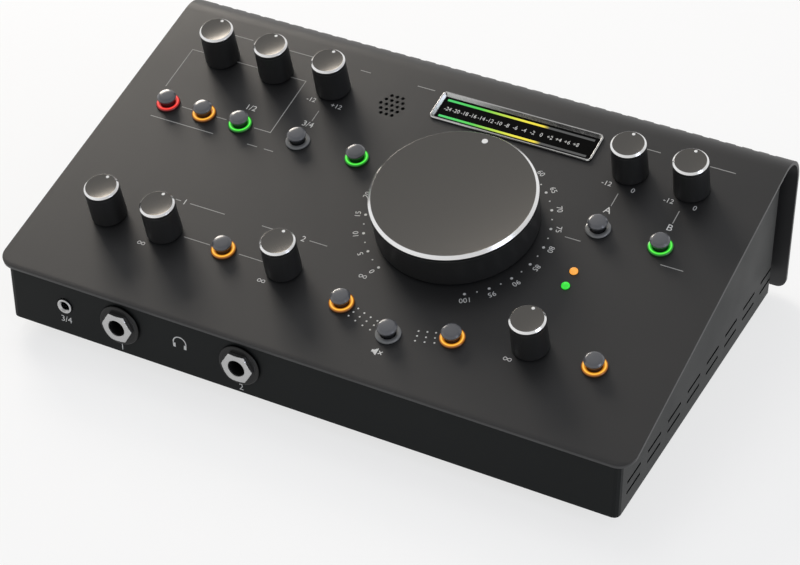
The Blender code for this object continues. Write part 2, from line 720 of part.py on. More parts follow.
def space_over_the_chassis():
    """All that lies above the underside of the cover, one fit below it."""
    edge = cover_path(COVER_SHEET + FIT)[:-1]
    top = BEND_CENTRE_Z + BEND_RADIUS + CUT
    rear = COVER_DEPTH + CUT
    front = edge[0] - Vector((COS_SLOPE, SIN_SLOPE)) * CUT
    outline = [front, *edge, Vector((rear, edge[-1].y)), Vector((rear, top)), Vector((front.x, top))]
    mesh = outlined([outline], PANEL_WIDTH)
    mesh.transform(ACROSS @ at(0, 0, -HALF_WIDTH))
    return mesh


def side_slot_cutter():
    """Rows of slots, each drawn right across the case so that it opens both sides."""
    slots = []
    for height in SLOT_HEIGHTS:
        corner = (-HALF_WIDTH, SLOT_START, height - SLOT_HEIGHT / 2)
        slot = box((PANEL_WIDTH, SLOT_LENGTH, SLOT_HEIGHT), corner)
        slots += [(slot, at(0, i * SLOT_PITCH)) for i in range(SLOT_COUNT)]
    return gathered(slots)


def front_hole_cutter():
    low = -CHASSIS_SHEET - CUT
    jack = cylinder(hole_radius(JACK_SLEEVE_RADIUS, HOLE_SEGMENTS), low, CUT, HOLE_SEGMENTS)
    mini = cylinder(hole_radius(MINI_SLEEVE_RADIUS, HOLE_SEGMENTS), low, CUT, HOLE_SEGMENTS)
    pairs = [(jack, front_place(column)) for name, column in PHONE_JACKS]
    pairs.append((mini, front_place(-OUTER_COLUMN)))
    return gathered(pairs)


def make_chassis():
    """A folded tray: four walls cut along the slope of the cover, and a flange inwards below."""
    floor = CHASSIS_BOTTOM + CHASSIS_SHEET
    top = BEND_CENTRE_Z + BEND_RADIUS
    chassis = add_piece("chassis_tray", chassis_plan(0, CHASSIS_BOTTOM, top), BLACK_COAT, CASE)
    cut(chassis, "inside", chassis_plan(CHASSIS_SHEET, floor, top + CUT), CASE)
    cut(chassis, "floor_opening", chassis_plan(CHASSIS_FLANGE, CHASSIS_BOTTOM - CUT, top), CASE)
    cut(chassis, "under_the_cover", space_over_the_chassis(), CASE)
    cut(chassis, "side_slots", side_slot_cutter(), CASE)
    cut(chassis, "front_holes", front_hole_cutter(), CASE)
    window_size = (REAR_BOARD_WIDTH, CHASSIS_SHEET + 2 * CUT, WINDOW_HEIGHT)
    corner = (-REAR_BOARD_WIDTH / 2, CHASSIS_REAR - CHASSIS_SHEET - CUT, WINDOW_LOW)
    cut(chassis, "rear_window", box(window_size, corner), CASE)
    hole = cylinder(hole_radius(SCREW_RADIUS, SCREW_SEGMENTS),
                    CHASSIS_BOTTOM - CUT, floor + CUT, SCREW_SEGMENTS)
    cut(chassis, "screw_holes", repeated(hole, [at(x, y) for x, y in bottom_screw_places()]), CASE)


def screw(head_seat, tip):
    """A pan head screw that points down: its head rests on head_seat, its shank ends at tip."""
    top = head_seat + SCREW_HEAD
    profile = [(0, top), (SCREW_HEAD_RADIUS, top), (SCREW_HEAD_RADIUS, head_seat)]
    profile += [(SCREW_RADIUS, head_seat), (SCREW_RADIUS, tip), (0, tip)]
    return turned(profile, SCREW_SEGMENTS)


def make_bottom_cover():
    """A flat plate inside the edge of the tray, with its six screws in place."""
    top = BASE_CLEARANCE + BOTTOM_SHEET
    mesh = chassis_plan(BOTTOM_INSET, BASE_CLEARANCE, top)
    cover = add_piece("bottom_cover", mesh, BLACK_COAT, CASE)
    fastener = screw(-FIT, -SCREW_LENGTH)
    places = [at(x, y, BASE_CLEARANCE) @ FACING_DOWN for x, y in bottom_screw_places()]
    join(cover, "screws", repeated(fastener, places), CASE)


def make_feet():
    """Four rubber feet, tapered a little towards the table."""
    top = BASE_CLEARANCE - FIT
    profile = [(0, top), (FOOT_RADIUS, top), (FOOT_RADIUS - FOOT_TAPER, 0), (0, 0)]
    side = CHASSIS_HALF_WIDTH - FOOT_SIDE_INSET
    front = CHASSIS_FRONT_INSET + FOOT_FRONT_INSET
    rear = CHASSIS_REAR - FOOT_REAR_INSET
    for end, y in (("front", front), ("rear", rear)):
        for hand, x in (("left", -side), ("right", side)):
            name = "rubber_foot_" + end + "_" + hand
            add_piece(name, turned(profile, FOOT_SEGMENTS), RUBBER, CASE, (x, y, 0))


def potentiometer_body():
    low = -BOARD_DEPTH - BOARD_THICKNESS / 2
    return centred_box(POT_SIZE, POT_SIZE, low, BOARD_SEAT + POT_BODY_HEIGHT)


def talkback_mic():
    """A capsule close under the grille, on a post that stands on the board."""
    waist = POT_TOP - MIC_CAPSULE_HEIGHT
    low = -BOARD_DEPTH - BOARD_THICKNESS / 2
    profile = [(0, POT_TOP), (MIC_RADIUS, POT_TOP), (MIC_RADIUS, waist)]
    profile += [(MIC_POST_RADIUS, waist), (MIC_POST_RADIUS, low), (0, low)]
    return turned(profile, MIC_SEGMENTS)


def indicator_led():
    low = -BOARD_DEPTH - BOARD_THICKNESS / 2
    profile = [(0, LED_HEIGHT), (LED_SHOULDER_RADIUS, LED_HEIGHT - LED_SHOULDER_DROP)]
    profile += [(LED_RADIUS, 0), (LED_RADIUS, low), (0, low)]
    return turned(profile, LED_SEGMENTS)


def make_main_board():
    """The board under the panel with what is soldered to it: potentiometers, switches,
    the light bars of the meter, the talkback microphone and two lamps."""
    side = HALF_WIDTH - BOARD_SIDE_MARGIN
    corners = [(side, BOARD_REAR), (-side, BOARD_REAR), (-side, BOARD_FRONT_BY_JACKS)]
    corners += [(-BOARD_STEP, BOARD_FRONT_BY_JACKS), (-BOARD_STEP, BOARD_FRONT), (side, BOARD_FRONT)]
    mesh = outlined([corners], BOARD_THICKNESS)
    mesh.transform(at(0, 0, -BOARD_DEPTH - BOARD_THICKNESS))
    board = add_piece("main_board", mesh, BOARD_LAMINATE, PANEL)

    low = -BOARD_DEPTH - BOARD_THICKNESS / 2
    pot_places = [at(x, y) for name, x, y in KNOBS]
    pot_places.append(at(VOLUME_COLUMN, VOLUME_ROW))
    switch = centred_box(SWITCH_SIZE, SWITCH_SIZE, low, SWITCH_TOP)
    window_low = -METER_WINDOW_DROP - METER_WINDOW_THICKNESS
    bars = centred_box(WINDOW_WIDTH - 2 * FIT, WINDOW_DEPTH - 2 * FIT, low, window_low - FIT)
    led = indicator_led()
    pairs = [(potentiometer_body(), place) for place in pot_places]
    pairs += [(switch, at(x, y)) for name, x, y, finish in BUTTONS]
    pairs += [(led, at(SECOND_COLUMN, y)) for y in (POWER_LED_ROW, USB_LED_ROW)]
    pairs += [(bars, at(VOLUME_COLUMN, METER_ROW)), (talkback_mic(), at(-FOURTH_COLUMN, TOP_ROW))]
    join(board, "components", gathered(pairs), PANEL)
    bore_floor = BOARD_SEAT + POT_FLOOR
    collar = cylinder(POT_COLLAR_RADIUS, bore_floor, POT_TOP, SPINDLE_SEGMENTS)
    join(board, "collars", repeated(collar, pot_places), PANEL)
    bore_radius = hole_radius(SPINDLE_RADIUS, SPINDLE_SEGMENTS)
    bore = cylinder(bore_radius, bore_floor, POT_TOP + CUT, SPINDLE_SEGMENTS)
    cut(board, "bores", repeated(bore, pot_places), PANEL)
    head = cylinder(SCREW_HEAD_RADIUS, -BOARD_DEPTH - BOARD_THICKNESS - SCREW_HEAD, low, SCREW_SEGMENTS)
    join(board, "screw_heads", repeated(head, [at(x, y) for x, y in stud_places()]), PANEL)


def make_rear_board():
    """The upright board that the rear sockets stand on, with the body of the power switch."""
    size = (REAR_BOARD_WIDTH, BOARD_THICKNESS, REAR_BOARD_HEIGHT)
    corner = (-REAR_BOARD_WIDTH / 2, REAR_BOARD_Y, WINDOW_LOW)
    board = add_piece("rear_board", box(size, corner), BOARD_LAMINATE, CASE)
    face = -POWER_STEM - POWER_TRAVEL - FIT
    root = -FIT - REAR_BODY_DEPTH - BOARD_THICKNESS / 2
    switch = centred_box(POWER_BODY, POWER_BODY, root, face)
    place = rear_place(REAR_COLUMNS["power_switch"], REAR_PLATE_INNER)
    join(board, "power_switch_body", repeated(switch, [place]), CASE)


def make_knob(name, x, y):
    """A small knob, its bright chamfered cap and its spindle in one turned piece."""
    rim = KNOB_HEIGHT - CAP_THICKNESS + CAP_RIM
    profile = [
        (0, KNOB_HEIGHT),
        (KNOB_TOP_RADIUS - CAP_CHAMFER, KNOB_HEIGHT),
        (KNOB_TOP_RADIUS, rim),
        (KNOB_BASE_RADIUS, KNOB_LIFT),
        (SPINDLE_RADIUS, KNOB_LIFT),
        (SPINDLE_RADIUS, SPINDLE_LOW),
        (0, SPINDLE_LOW),
    ]
    add_piece("knob_" + name, turned(profile, KNOB_SEGMENTS), BLACK_PLASTIC, PANEL, (x, y, 0))


def make_volume_knob():
    """The wide knob is a hollow shell round its spindle, with a turned metal cap on top."""
    place = (VOLUME_COLUMN, VOLUME_ROW, 0)
    seam = VOLUME_HEIGHT - CAP_THICKNESS
    top = seam - FIT
    ceiling = top - VOLUME_CROWN
    profile = [
        (0, top),
        (VOLUME_TOP_RADIUS, top),
        (VOLUME_BASE_RADIUS, KNOB_LIFT),
        (VOLUME_BASE_RADIUS - VOLUME_WALL, KNOB_LIFT),
        (VOLUME_TOP_RADIUS - VOLUME_WALL, ceiling),
        (VOLUME_BOSS_RADIUS, ceiling),
        (VOLUME_BOSS_RADIUS, VOLUME_BOSS_LIFT),
        (SPINDLE_RADIUS, VOLUME_BOSS_LIFT),
        (SPINDLE_RADIUS, SPINDLE_LOW),
        (0, SPINDLE_LOW),
    ]
    add_piece("volume_knob", turned(profile, VOLUME_SEGMENTS), BLACK_PLASTIC, PANEL, place)
    cap = [
        (0, VOLUME_HEIGHT),
        (VOLUME_TOP_RADIUS - CAP_CHAMFER, VOLUME_HEIGHT),
        (VOLUME_TOP_RADIUS, seam + CAP_RIM),
        (VOLUME_TOP_RADIUS, seam),
        (0, seam),
    ]
    add_piece("volume_knob_cap", turned(cap, VOLUME_SEGMENTS), TURNED_ALUMINIUM, PANEL, place)


def make_button(name, x, y):
    """A mushroom shaped cap on a stem that slides in its light ring."""
    profile = [
        (0, BUTTON_HEIGHT),
        (BUTTON_CROWN_RADIUS, BUTTON_HEIGHT - BUTTON_CROWN_DROP),
        (BUTTON_RADIUS, BUTTON_HEIGHT - BUTTON_EDGE_DROP),
        (BUTTON_STEM_RADIUS, BUTTON_HEIGHT - BUTTON_UNDERCUT_DROP),
        (BUTTON_STEM_RADIUS, -BUTTON_STEM_DEPTH),
        (0, -BUTTON_STEM_DEPTH),
    ]
    add_piece("button_" + name, turned(profile, BUTTON_SEGMENTS), SMOKED_PLASTIC, PANEL, (x, y, 0))


def make_light_ring(name, x, y, finish):
    """A clear ring in the panel: a crest above it, and a tube below that guides the button."""
    inner = hole_radius(BUTTON_STEM_RADIUS, BUTTON_SEGMENTS)
    profile = [
        (RING_CREST_RADIUS, RING_HEIGHT),
        (RING_RADIUS, FIT),
        (RING_TUBE_RADIUS, FIT),
        (RING_TUBE_RADIUS, -RING_DEPTH),
        (inner, -RING_DEPTH),
        (inner, RING_HEIGHT),
    ]
    add_piece("light_ring_" + name, turned(profile, BUTTON_SEGMENTS), finish, PANEL, (x, y, 0))


def bevelled_rim(shape):
    """Bevels the outer top edge of the meter's frame."""
    bmesh.ops.dissolve_limit(shape, angle_limit=math.radians(1), verts=shape.verts, edges=shape.edges)
    rim = [edge for edge in shape.edges
           if min(vert.co.z for vert in edge.verts) > METER_BEZEL_LIFT - METER_BEZEL_EDGE]
    bmesh.ops.bevel(shape, geom=rim, offset=METER_BEZEL_EDGE, segments=1, profile=0.5, affect="EDGES")


def make_meter():
    """A bevelled frame let into the panel, with a dark window in it."""
    place = (VOLUME_COLUMN, METER_ROW, 0)
    loop = rounded_rectangle(METER_WIDTH, METER_HEIGHT, METER_CORNER_RADIUS, 2)
    plate = outlined([loop], METER_BEZEL_LIFT - FIT)
    plate.transform(at(0, 0, FIT))
    bezel = add_piece("meter_bezel", edited(plate, bevelled_rim), NICKEL, PANEL, place)
    width = WINDOW_WIDTH + 2 * METER_TUBE_WALL
    depth = WINDOW_DEPTH + 2 * METER_TUBE_WALL
    join(bezel, "tube", centred_box(width, depth, -METER_TUBE_DEPTH, (METER_BEZEL_LIFT + FIT) / 2))
    low = -METER_TUBE_DEPTH - CUT
    cut(bezel, "opening", centred_box(WINDOW_WIDTH, WINDOW_DEPTH, low, METER_BEZEL_LIFT + CUT))
    low = -METER_WINDOW_DROP - METER_WINDOW_THICKNESS
    window = centred_box(WINDOW_WIDTH - 2 * FIT, WINDOW_DEPTH - 2 * FIT, low, -METER_WINDOW_DROP)
    add_piece("meter_window", window, DARK_WINDOW, PANEL, place)


def make_jack(name, location, turn, depth, sheet, washer):
    """A quarter inch jack drawn along Z: body behind the sheet, sleeve through it, nut outside."""
    seat = sheet + FIT + washer
    reach = seat + NUT_THICKNESS + JACK_SLEEVE_REACH
    body = centred_box(JACK_WIDTH, JACK_BODY_HEIGHT, -FIT - depth, -FIT)
    jack = add_piece(name, body, BLACK_PLASTIC, CASE, location, turn)
    if washer:
        profile = [(0, seat), (WASHER_RADIUS - WASHER_CHAMFER, seat)]
        profile += [(WASHER_RADIUS, seat - WASHER_CHAMFER), (WASHER_RADIUS, sheet + FIT)]
        profile += [(JACK_SLEEVE_RADIUS, sheet + FIT), (JACK_SLEEVE_RADIUS, -JACK_SLEEVE_ROOT)]
        join(jack, "sleeve", turned([*profile, (0, -JACK_SLEEVE_ROOT)], WASHER_SEGMENTS))
    else:
        join(jack, "sleeve", cylinder(JACK_SLEEVE_RADIUS, -JACK_SLEEVE_ROOT, reach - JACK_SLEEVE_REACH / 2,
                                      JACK_SEGMENTS))
    corner_radius = NUT_ACROSS_FLATS / 2 / math.cos(math.pi / 6)
    nut = cylinder(corner_radius, seat - washer / 2, seat + NUT_THICKNESS, 6)
    nut.transform(Matrix.Rotation(math.radians(30), 4, "Z"))
    join(jack, "nut", nut)
    join(jack, "lip", cylinder(JACK_LIP_RADIUS, seat, reach, JACK_SEGMENTS))
    cut(jack, "bore", cylinder(JACK_BORE_RADIUS, -FIT - depth + JACK_BACK_WALL, reach + CUT, JACK_SEGMENTS))


def make_jacks():
    """Two phones jacks in the front, and three pairs of line jacks in the rear plate."""
    for name, column in PHONE_JACKS:
        place = (column, CHASSIS_FRONT_INSET + CHASSIS_SHEET, FRONT_JACK_HEIGHT)
        make_jack(name, place, TO_THE_FRONT, FRONT_JACK_DEPTH, CHASSIS_SHEET, WASHER_THICKNESS)
    for name in LINE_JACK_NAMES:
        place = (REAR_COLUMNS[name], REAR_PLATE_INNER, REAR_LINE_HEIGHT)
        make_jack(name, place, TO_THE_REAR, REAR_BODY_DEPTH, COVER_SHEET, 0)


def make_stereo_in_jack():
    """The small jack of the line input: body, sleeve through the front, stepped bore."""
    place = (-OUTER_COLUMN, CHASSIS_FRONT_INSET + CHASSIS_SHEET, FRONT_JACK_HEIGHT)
    reach = CHASSIS_SHEET + MINI_REACH
    body = centred_box(MINI_WIDTH, MINI_BODY_HEIGHT, -FIT - MINI_DEPTH, -FIT)
    jack = add_piece("stereo_in_jack", body, NICKEL, CASE, place, TO_THE_FRONT)
    join(jack, "sleeve", cylinder(MINI_SLEEVE_RADIUS, -MINI_DEPTH / 2, reach, JACK_SEGMENTS))
    profile = [(0, reach + CUT), (MINI_MOUTH_RADIUS, reach + CUT), (MINI_MOUTH_RADIUS, reach)]
    profile += [(MINI_BORE_RADIUS, reach - MINI_MOUTH_DEPTH)]
    profile += [(MINI_BORE_RADIUS, -MINI_DEPTH + JACK_BACK_WALL), (0, -MINI_DEPTH + JACK_BACK_WALL)]
    cut(jack, "bore", turned(profile, JACK_SEGMENTS))


def make_combo_input(name):
    """A combined microphone and line input: a round groove about a core with a jack bore."""
    mouth = COVER_SHEET + COMBO_COLLAR_REACH
    face = mouth - COMBO_CORE_DROP
    place = (REAR_COLUMNS[name], REAR_PLATE_INNER, REAR_LINE_HEIGHT)
    body = centred_box(COMBO_WIDTH, COMBO_BODY_HEIGHT, -FIT - REAR_BODY_DEPTH, -FIT)
    combo = add_piece(name, body, BLACK_PLASTIC, CASE, place, TO_THE_REAR)
    join(combo, "collar", cylinder(COMBO_COLLAR_RADIUS, -COMBO_GROOVE_DEPTH, mouth, COMBO_SEGMENTS))
    groove_floor = mouth - COMBO_GROOVE_DEPTH
    cut(combo, "groove", turned([
        (0, mouth + CUT),
        (COMBO_GROOVE_RADIUS, mouth + CUT),
        (COMBO_GROOVE_RADIUS, groove_floor),
        (COMBO_CORE_RADIUS, groove_floor),
        (COMBO_CORE_RADIUS, face),
        (0, face),
    ], COMBO_SEGMENTS))
    bore_end = -FIT - REAR_BODY_DEPTH + JACK_BACK_WALL
    bores = [(cylinder(JACK_BORE_RADIUS, bore_end, mouth + CUT, JACK_SEGMENTS), at(0, 0))]
    pin = cylinder(COMBO_PIN_RADIUS, face - COMBO_PIN_DEPTH, mouth + CUT, COMBO_PIN_SEGMENTS)
    for angle in (math.radians(degrees) for degrees in COMBO_PIN_ANGLES):
        bores.append((pin, at(COMBO_PIN_CIRCLE * math.cos(angle), COMBO_PIN_CIRCLE * math.sin(angle))))
    cut(combo, "bores", gathered(bores))
    fastener = screw(COVER_SHEET + FIT, -SCREW_LENGTH)
    join(combo, "screws", repeated(fastener, combo_screw_places()))


def make_usb_socket():
    """A square socket that passes through the rear plate, with its tongue inside."""
    mouth = COVER_SHEET + SOCKET_REACH
    floor = mouth - USB_MOUTH_DEPTH
    place = (REAR_COLUMNS["usb_socket"], REAR_PLATE_INNER, REAR_LINE_HEIGHT)
    body = centred_box(USB_WIDTH, USB_HEIGHT, -FIT - REAR_BODY_DEPTH, mouth)
    socket = add_piece("usb_socket", body, NICKEL, CASE, place, TO_THE_REAR)
    width = USB_WIDTH - 2 * USB_WALL
    cut(socket, "mouth", centred_box(width, USB_HEIGHT - 2 * USB_WALL, floor, mouth + CUT))
    tongue_end = mouth - USB_TONGUE_SETBACK
    join(socket, "tongue", centred_box(USB_TONGUE_WIDTH, USB_TONGUE_HEIGHT, floor - USB_WALL, tongue_end))


def make_dc_socket():
    """The round socket of the mains adapter, with its centre pin."""
    mouth = COVER_SHEET + SOCKET_REACH
    floor = mouth - DC_BORE_DEPTH
    place = (REAR_COLUMNS["dc_socket"], REAR_PLATE_INNER, REAR_LINE_HEIGHT)
    body = centred_box(DC_WIDTH, DC_BODY_HEIGHT, -FIT - REAR_BODY_DEPTH, -FIT)
    socket = add_piece("dc_socket", body, BLACK_PLASTIC, CASE, place, TO_THE_REAR)
    join(socket, "collar", cylinder(DC_COLLAR_RADIUS, floor / 2, mouth, JACK_SEGMENTS))
    cut(socket, "bore", cylinder(DC_BORE_RADIUS, floor, mouth + CUT, JACK_SEGMENTS))
    pin = cylinder(DC_PIN_RADIUS, floor - DC_PIN_SETBACK, mouth - DC_PIN_SETBACK, SCREW_SEGMENTS)
    join(socket, "pin", pin)


def make_power_switch():
    """The round push cap of the power switch, which slides in the rear plate."""
    top = COVER_SHEET + POWER_REACH
    profile = [(0, top), (POWER_RADIUS - POWER_EDGE, top), (POWER_RADIUS, top - POWER_EDGE)]
    profile += [(POWER_RADIUS, -POWER_STEM), (0, -POWER_STEM)]
    place = (REAR_COLUMNS["power_switch"], REAR_PLATE_INNER, REAR_LINE_HEIGHT)
    add_piece("power_switch", turned(profile, JACK_SEGMENTS), BLACK_PLASTIC, CASE, place, TO_THE_REAR)


clear_scene()
REAR_COLUMNS = rear_columns()
PARTS = make_collection("studio_monitor_controller")
CUTTERS = make_collection("cutters")
CASE = make_empty("case_frame", (0, -CASE_MIDDLE, 0))
PANEL = make_empty("panel_frame", (0, 0, FRONT_HEIGHT), (PANEL_SLOPE, 0, 0), CASE)

make_cover()
make_chassis()
make_bottom_cover()
make_feet()
make_main_board()
make_rear_board()
for knob in KNOBS:
    make_knob(*knob)
make_volume_knob()
for name, x, y, finish in BUTTONS:
    make_button(name, x, y)
    make_light_ring(name, x, y, finish)
make_meter()
make_jacks()
make_stereo_in_jack()
for name in COMBO_NAMES:
    make_combo_input(name)
make_usb_socket()
make_dc_socket()
make_power_switch()
bpy.context.view_layer.update()
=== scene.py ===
import json
import math

import bmesh
import bpy
import numpy as np
from mathutils import Matrix, Vector


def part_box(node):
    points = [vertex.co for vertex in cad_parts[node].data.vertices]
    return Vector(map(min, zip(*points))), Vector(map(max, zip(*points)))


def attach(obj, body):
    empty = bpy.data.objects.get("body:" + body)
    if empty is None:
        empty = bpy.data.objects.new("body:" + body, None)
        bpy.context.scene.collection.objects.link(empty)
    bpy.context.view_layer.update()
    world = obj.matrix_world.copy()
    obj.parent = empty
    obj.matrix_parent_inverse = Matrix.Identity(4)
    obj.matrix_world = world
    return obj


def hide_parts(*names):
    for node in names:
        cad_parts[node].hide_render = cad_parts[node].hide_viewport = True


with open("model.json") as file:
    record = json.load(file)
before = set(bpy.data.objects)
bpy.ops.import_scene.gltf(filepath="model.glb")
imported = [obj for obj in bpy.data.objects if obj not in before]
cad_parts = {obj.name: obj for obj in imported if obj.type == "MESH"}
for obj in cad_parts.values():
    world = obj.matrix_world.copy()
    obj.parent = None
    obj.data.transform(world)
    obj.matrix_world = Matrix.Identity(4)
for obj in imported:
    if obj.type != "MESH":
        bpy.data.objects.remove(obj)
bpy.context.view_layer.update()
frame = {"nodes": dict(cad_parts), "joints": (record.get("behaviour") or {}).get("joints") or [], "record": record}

# Pieces are drawn in millimetres, in the frame of the case: X across from its middle, Y from the
# front edge of the cover to the rear, Z up from the table. Every place ends in the scale to metres.
MM = 0.001
MERGE = 0.002
SHARP = math.radians(25)
NODES = frame["nodes"]
JOINTS = {joint["child"]: joint for joint in frame["joints"]}

# The bent cover
FRONT_HEIGHT = 32.2
SHEET = 1.5
SHEET_EDGE = 0.2
BEND_RADIUS = 13.9
PLATE_LIFT = 3.9
FRONT_CORNER = 6.7
REAR_CORNER = 4.0
VENT_PITCH = 6.75
VENT_WIDTH = 3.4
VENT_MARGIN = 6.0
VENT_START = math.radians(25)
VENT_DROP = 6.5
MIC_PITCH = 2.43
MIC_HOLE = 0.75
MIC_ROW = 5

# Its holes, as radii, as gaps round what passes through, or as width and height
SPINDLE_GAP = 0.5
SLEEVE_GAP = 0.5
RING_GAP = 0.35
LAMP_HOLE = 1.85
COMBO_HOLE = 11.9
SCREW_HOLE = 1.7
SCREW_OFFSET = 10.5
DC_HOLE = 4.4
SWITCH_HOLE = 4.2
USB_HOLE = (12.6, 11.6)
METER_SEAT = 0.4
HOLE_STEPS = 32

# Knobs
KNOB_LIFT = 0.7
KNOB_HEIGHT = 16.2
KNOB_TOP = 6.8
KNOB_BASE = 7.0
KNOB_WALL = 1.4
KNOB_HOLLOW = 1.2
KNOB_STEPS = 64
CAP_HEIGHT = 1.8
CAP_CHAMFER = 0.75
CAP_DISH = 0.06
SEAM = 0.3
SEAM_DEPTH = 0.35
SPINDLE = 3.0
SPINDLE_LOW = -9.5
POINTER_OUT = 5.0
POINTER = 0.65
POINTER_LIFT = 0.05
POINTER_EDGE = 0.1
VOLUME_HEIGHT = 16.6
VOLUME_TOP = 32.0
VOLUME_BASE = 31.4
VOLUME_CHAMFER = 1.15
VOLUME_WALL = 2.2
VOLUME_ROOF = 4.0
VOLUME_SEAM = 0.25
VOLUME_SEAM_DEPTH = 0.5
VOLUME_BOSS = 6.0
VOLUME_BOSS_LOW = 1.5
VOLUME_STEPS = 160
VOLUME_POINTER_OUT = 27.5
VOLUME_POINTER = 1.2

# Buttons, light rings and lamps
BUTTON_TOP = 5.4
BUTTON_RADIUS = 3.9
BUTTON_NECK = 2.7
BUTTON_LOW = -4.5
NECK_TOP = 3.3
BUTTON_STEPS = 48
RING_OUTER = 4.9
RING_TUBE = 4.1
RING_BORE = 2.95
RING_TOP = 1.1
RING_LOW = -3.0
RING_ROUND = 0.8
RING_SKIN = 2.6
LAMP_ROWS = (74.3, 66.9)
LAMP_RADIUS = 1.62
LAMP_FOOT = 0.3
LAMP_DOME = 0.95

# Meter
METER_ROW = 132.9
METER_WIDTH = 68.8
METER_HEIGHT = 14.7
METER_RIM = 1.5
METER_LIFT = 1.0
METER_DEEP = 3.0
METER_SUNK = 0.5
BAR_HALF = 31.4
BAR_ROW = 4.3
BAR_WIDTH = 1.15
SCALE_START = -29.4
SCALE_PITCH = 3.65
SCALE_ROW = -0.2
SCALE_SIZE = 2.0
SCALE_NARROW = 0.86

# Jacks and sockets
NUT_FLATS = 11.5
NUT_THICKNESS = 1.8
NUT_BORE = 3.5
NUT_MOUTH = 0.2
NUT_CHAMFER = 0.9
NUT_CONE = 1.9
NUT_FACE_SHARE = 0.985
NUT_STEPS = 73
WASHER_RADIUS = 8.5
WASHER_THICKNESS = 1.1
JACK_BORE = 3.3
JACK_SLEEVE = 4.5
SLEEVE_IN_NUT = 3.46
SLEEVE_SUNK = 0.5
BARREL = 6.0
BARREL_FLOOR = 1.5
FRONT_BARREL = 25.0
REAR_BARREL = 24.0
MINI_BARREL = 4.0
MINI_SLEEVE = 3.1
MINI_BORE = 1.8
SWITCH_RADIUS = 3.8
SWITCH_REACH = 4.0
SWITCH_LOW = -9.5
FRONT_INSET = 1.7
FRONT_SHEET = 1.2
FIT = 0.3

# Print, and the built-in font's figures as a share of its size
INK = 0.03
LINE_WIDTH = 0.38
SIGN_LINE = 0.4
RIDGE_SHARE = 0.84
DOT_SHARE = 0.9
DOT_RADIUS = 0.38
FIGURE_SHARE = 0.73
FRONT_FIGURE = 2.9
FRONT_FIGURE_Z = 9.2
MINI_FIGURE_Z = 13.5
MUTE_SIGN_AT = (26.0, 14.4)
HEADPHONE_SIGN_AT = (-50.8, 20.6)
DIAL_RADIUS = 35.5
DIAL_FIGURE_RADIUS = 38.4
DIAL_FIGURE = 2.3
DIAL_DOTS = (0.6, 0.34)
DIAL_TURN = 300
DIAL_STEPS = 40


def lowest(node):
    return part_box(node)[0] / MM


def highest(node):
    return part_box(node)[1] / MM


FRONT_EDGE = lowest("top_cover").y
HALF_WIDTH = highest("top_cover").x
COVER_DEPTH = highest("top_cover").y - FRONT_EDGE
SLOPE = math.atan2(-JOINTS["volume_knob"]["axis"][1], JOINTS["volume_knob"]["axis"][2])
BEND_Y = COVER_DEPTH - BEND_RADIUS
PANEL_LENGTH = (BEND_Y - BEND_RADIUS * math.sin(SLOPE)) / math.cos(SLOPE)
BEND_Z = FRONT_HEIGHT + PANEL_LENGTH * math.sin(SLOPE) - BEND_RADIUS * math.cos(SLOPE)
CASE = Matrix.Scale(MM, 4) @ Matrix.Translation((0, FRONT_EDGE, 0))
PANEL = CASE @ Matrix.Translation((0, 0, FRONT_HEIGHT)) @ Matrix.Rotation(SLOPE, 4, "X")
TO_FRONT = Matrix.Rotation(math.radians(90), 4, "X")
TO_REAR = Matrix.Rotation(math.radians(180), 4, "Z") @ TO_FRONT


def on_panel(x, row, height=0.0):
    """A place on the sloped panel: x across, row up the slope, Z out of the panel."""
    return PANEL @ Matrix.Translation((x, row, height))


def on_front(x, z, out=0.0):
    """A place on the front wall: its X to the right, its Y up and its Z out to the front."""
    return CASE @ Matrix.Translation((x, FRONT_INSET - out, z)) @ TO_FRONT


def on_rear(x, z, out=0.0):
    """A place on the rear plate, seen from behind: its Y up and its Z out to the rear."""
    return CASE @ Matrix.Translation((x, COVER_DEPTH + out, z)) @ TO_REAR


def panel_spot(child):
    """Where the axis of a knob or button meets the panel, as x and row."""
    spot = PANEL.inverted() @ Vector(JOINTS[child]["pos_m"])
    return spot.x, spot.y


def place_of(child):
    return on_panel(*panel_spot(child))


def moved(points, place):
    matrix = np.array(place)
    return points @ matrix[:3, :3].T + matrix[:3, 3]


def cleaned(mesh, sharp=SHARP):
    """Merges doubled points, turns the faces outwards and shades smooth between sharp edges."""
    shape = bmesh.new()
    shape.from_mesh(mesh)
    bmesh.ops.remove_doubles(shape, verts=shape.verts, dist=MERGE * MM)
    bmesh.ops.recalc_face_normals(shape, faces=shape.faces)
    shape.to_mesh(mesh)
    shape.free()
    mesh.shade_smooth()
    mesh.set_sharp_from_angle(angle=sharp)
    return mesh


def surface(points, place, uv=None, keep=None):
    """A mesh over a grid of points, where each four neighbours make a face.

    keep is a grid of true and false that leaves cells out, and uv a grid of coordinates.
    """
    rows, columns = points.shape[:2]
    index = np.arange(rows * columns).reshape(rows, columns)
    cells = np.stack([index[:-1, :-1], index[:-1, 1:], index[1:, 1:], index[1:, :-1]], axis=-1)
    corners = cells.reshape(-1, 4) if keep is None else cells[keep]
    mesh = bpy.data.meshes.new("surface")
    mesh.from_pydata(moved(points.reshape(-1, 3), place).tolist(), [], corners.tolist())
    if uv is not None:
        layer = mesh.uv_layers.new(name="surface")
        layer.data.foreach_set("uv", uv.reshape(-1, 2)[corners.ravel()].astype(np.float32).ravel())
    return cleaned(mesh)


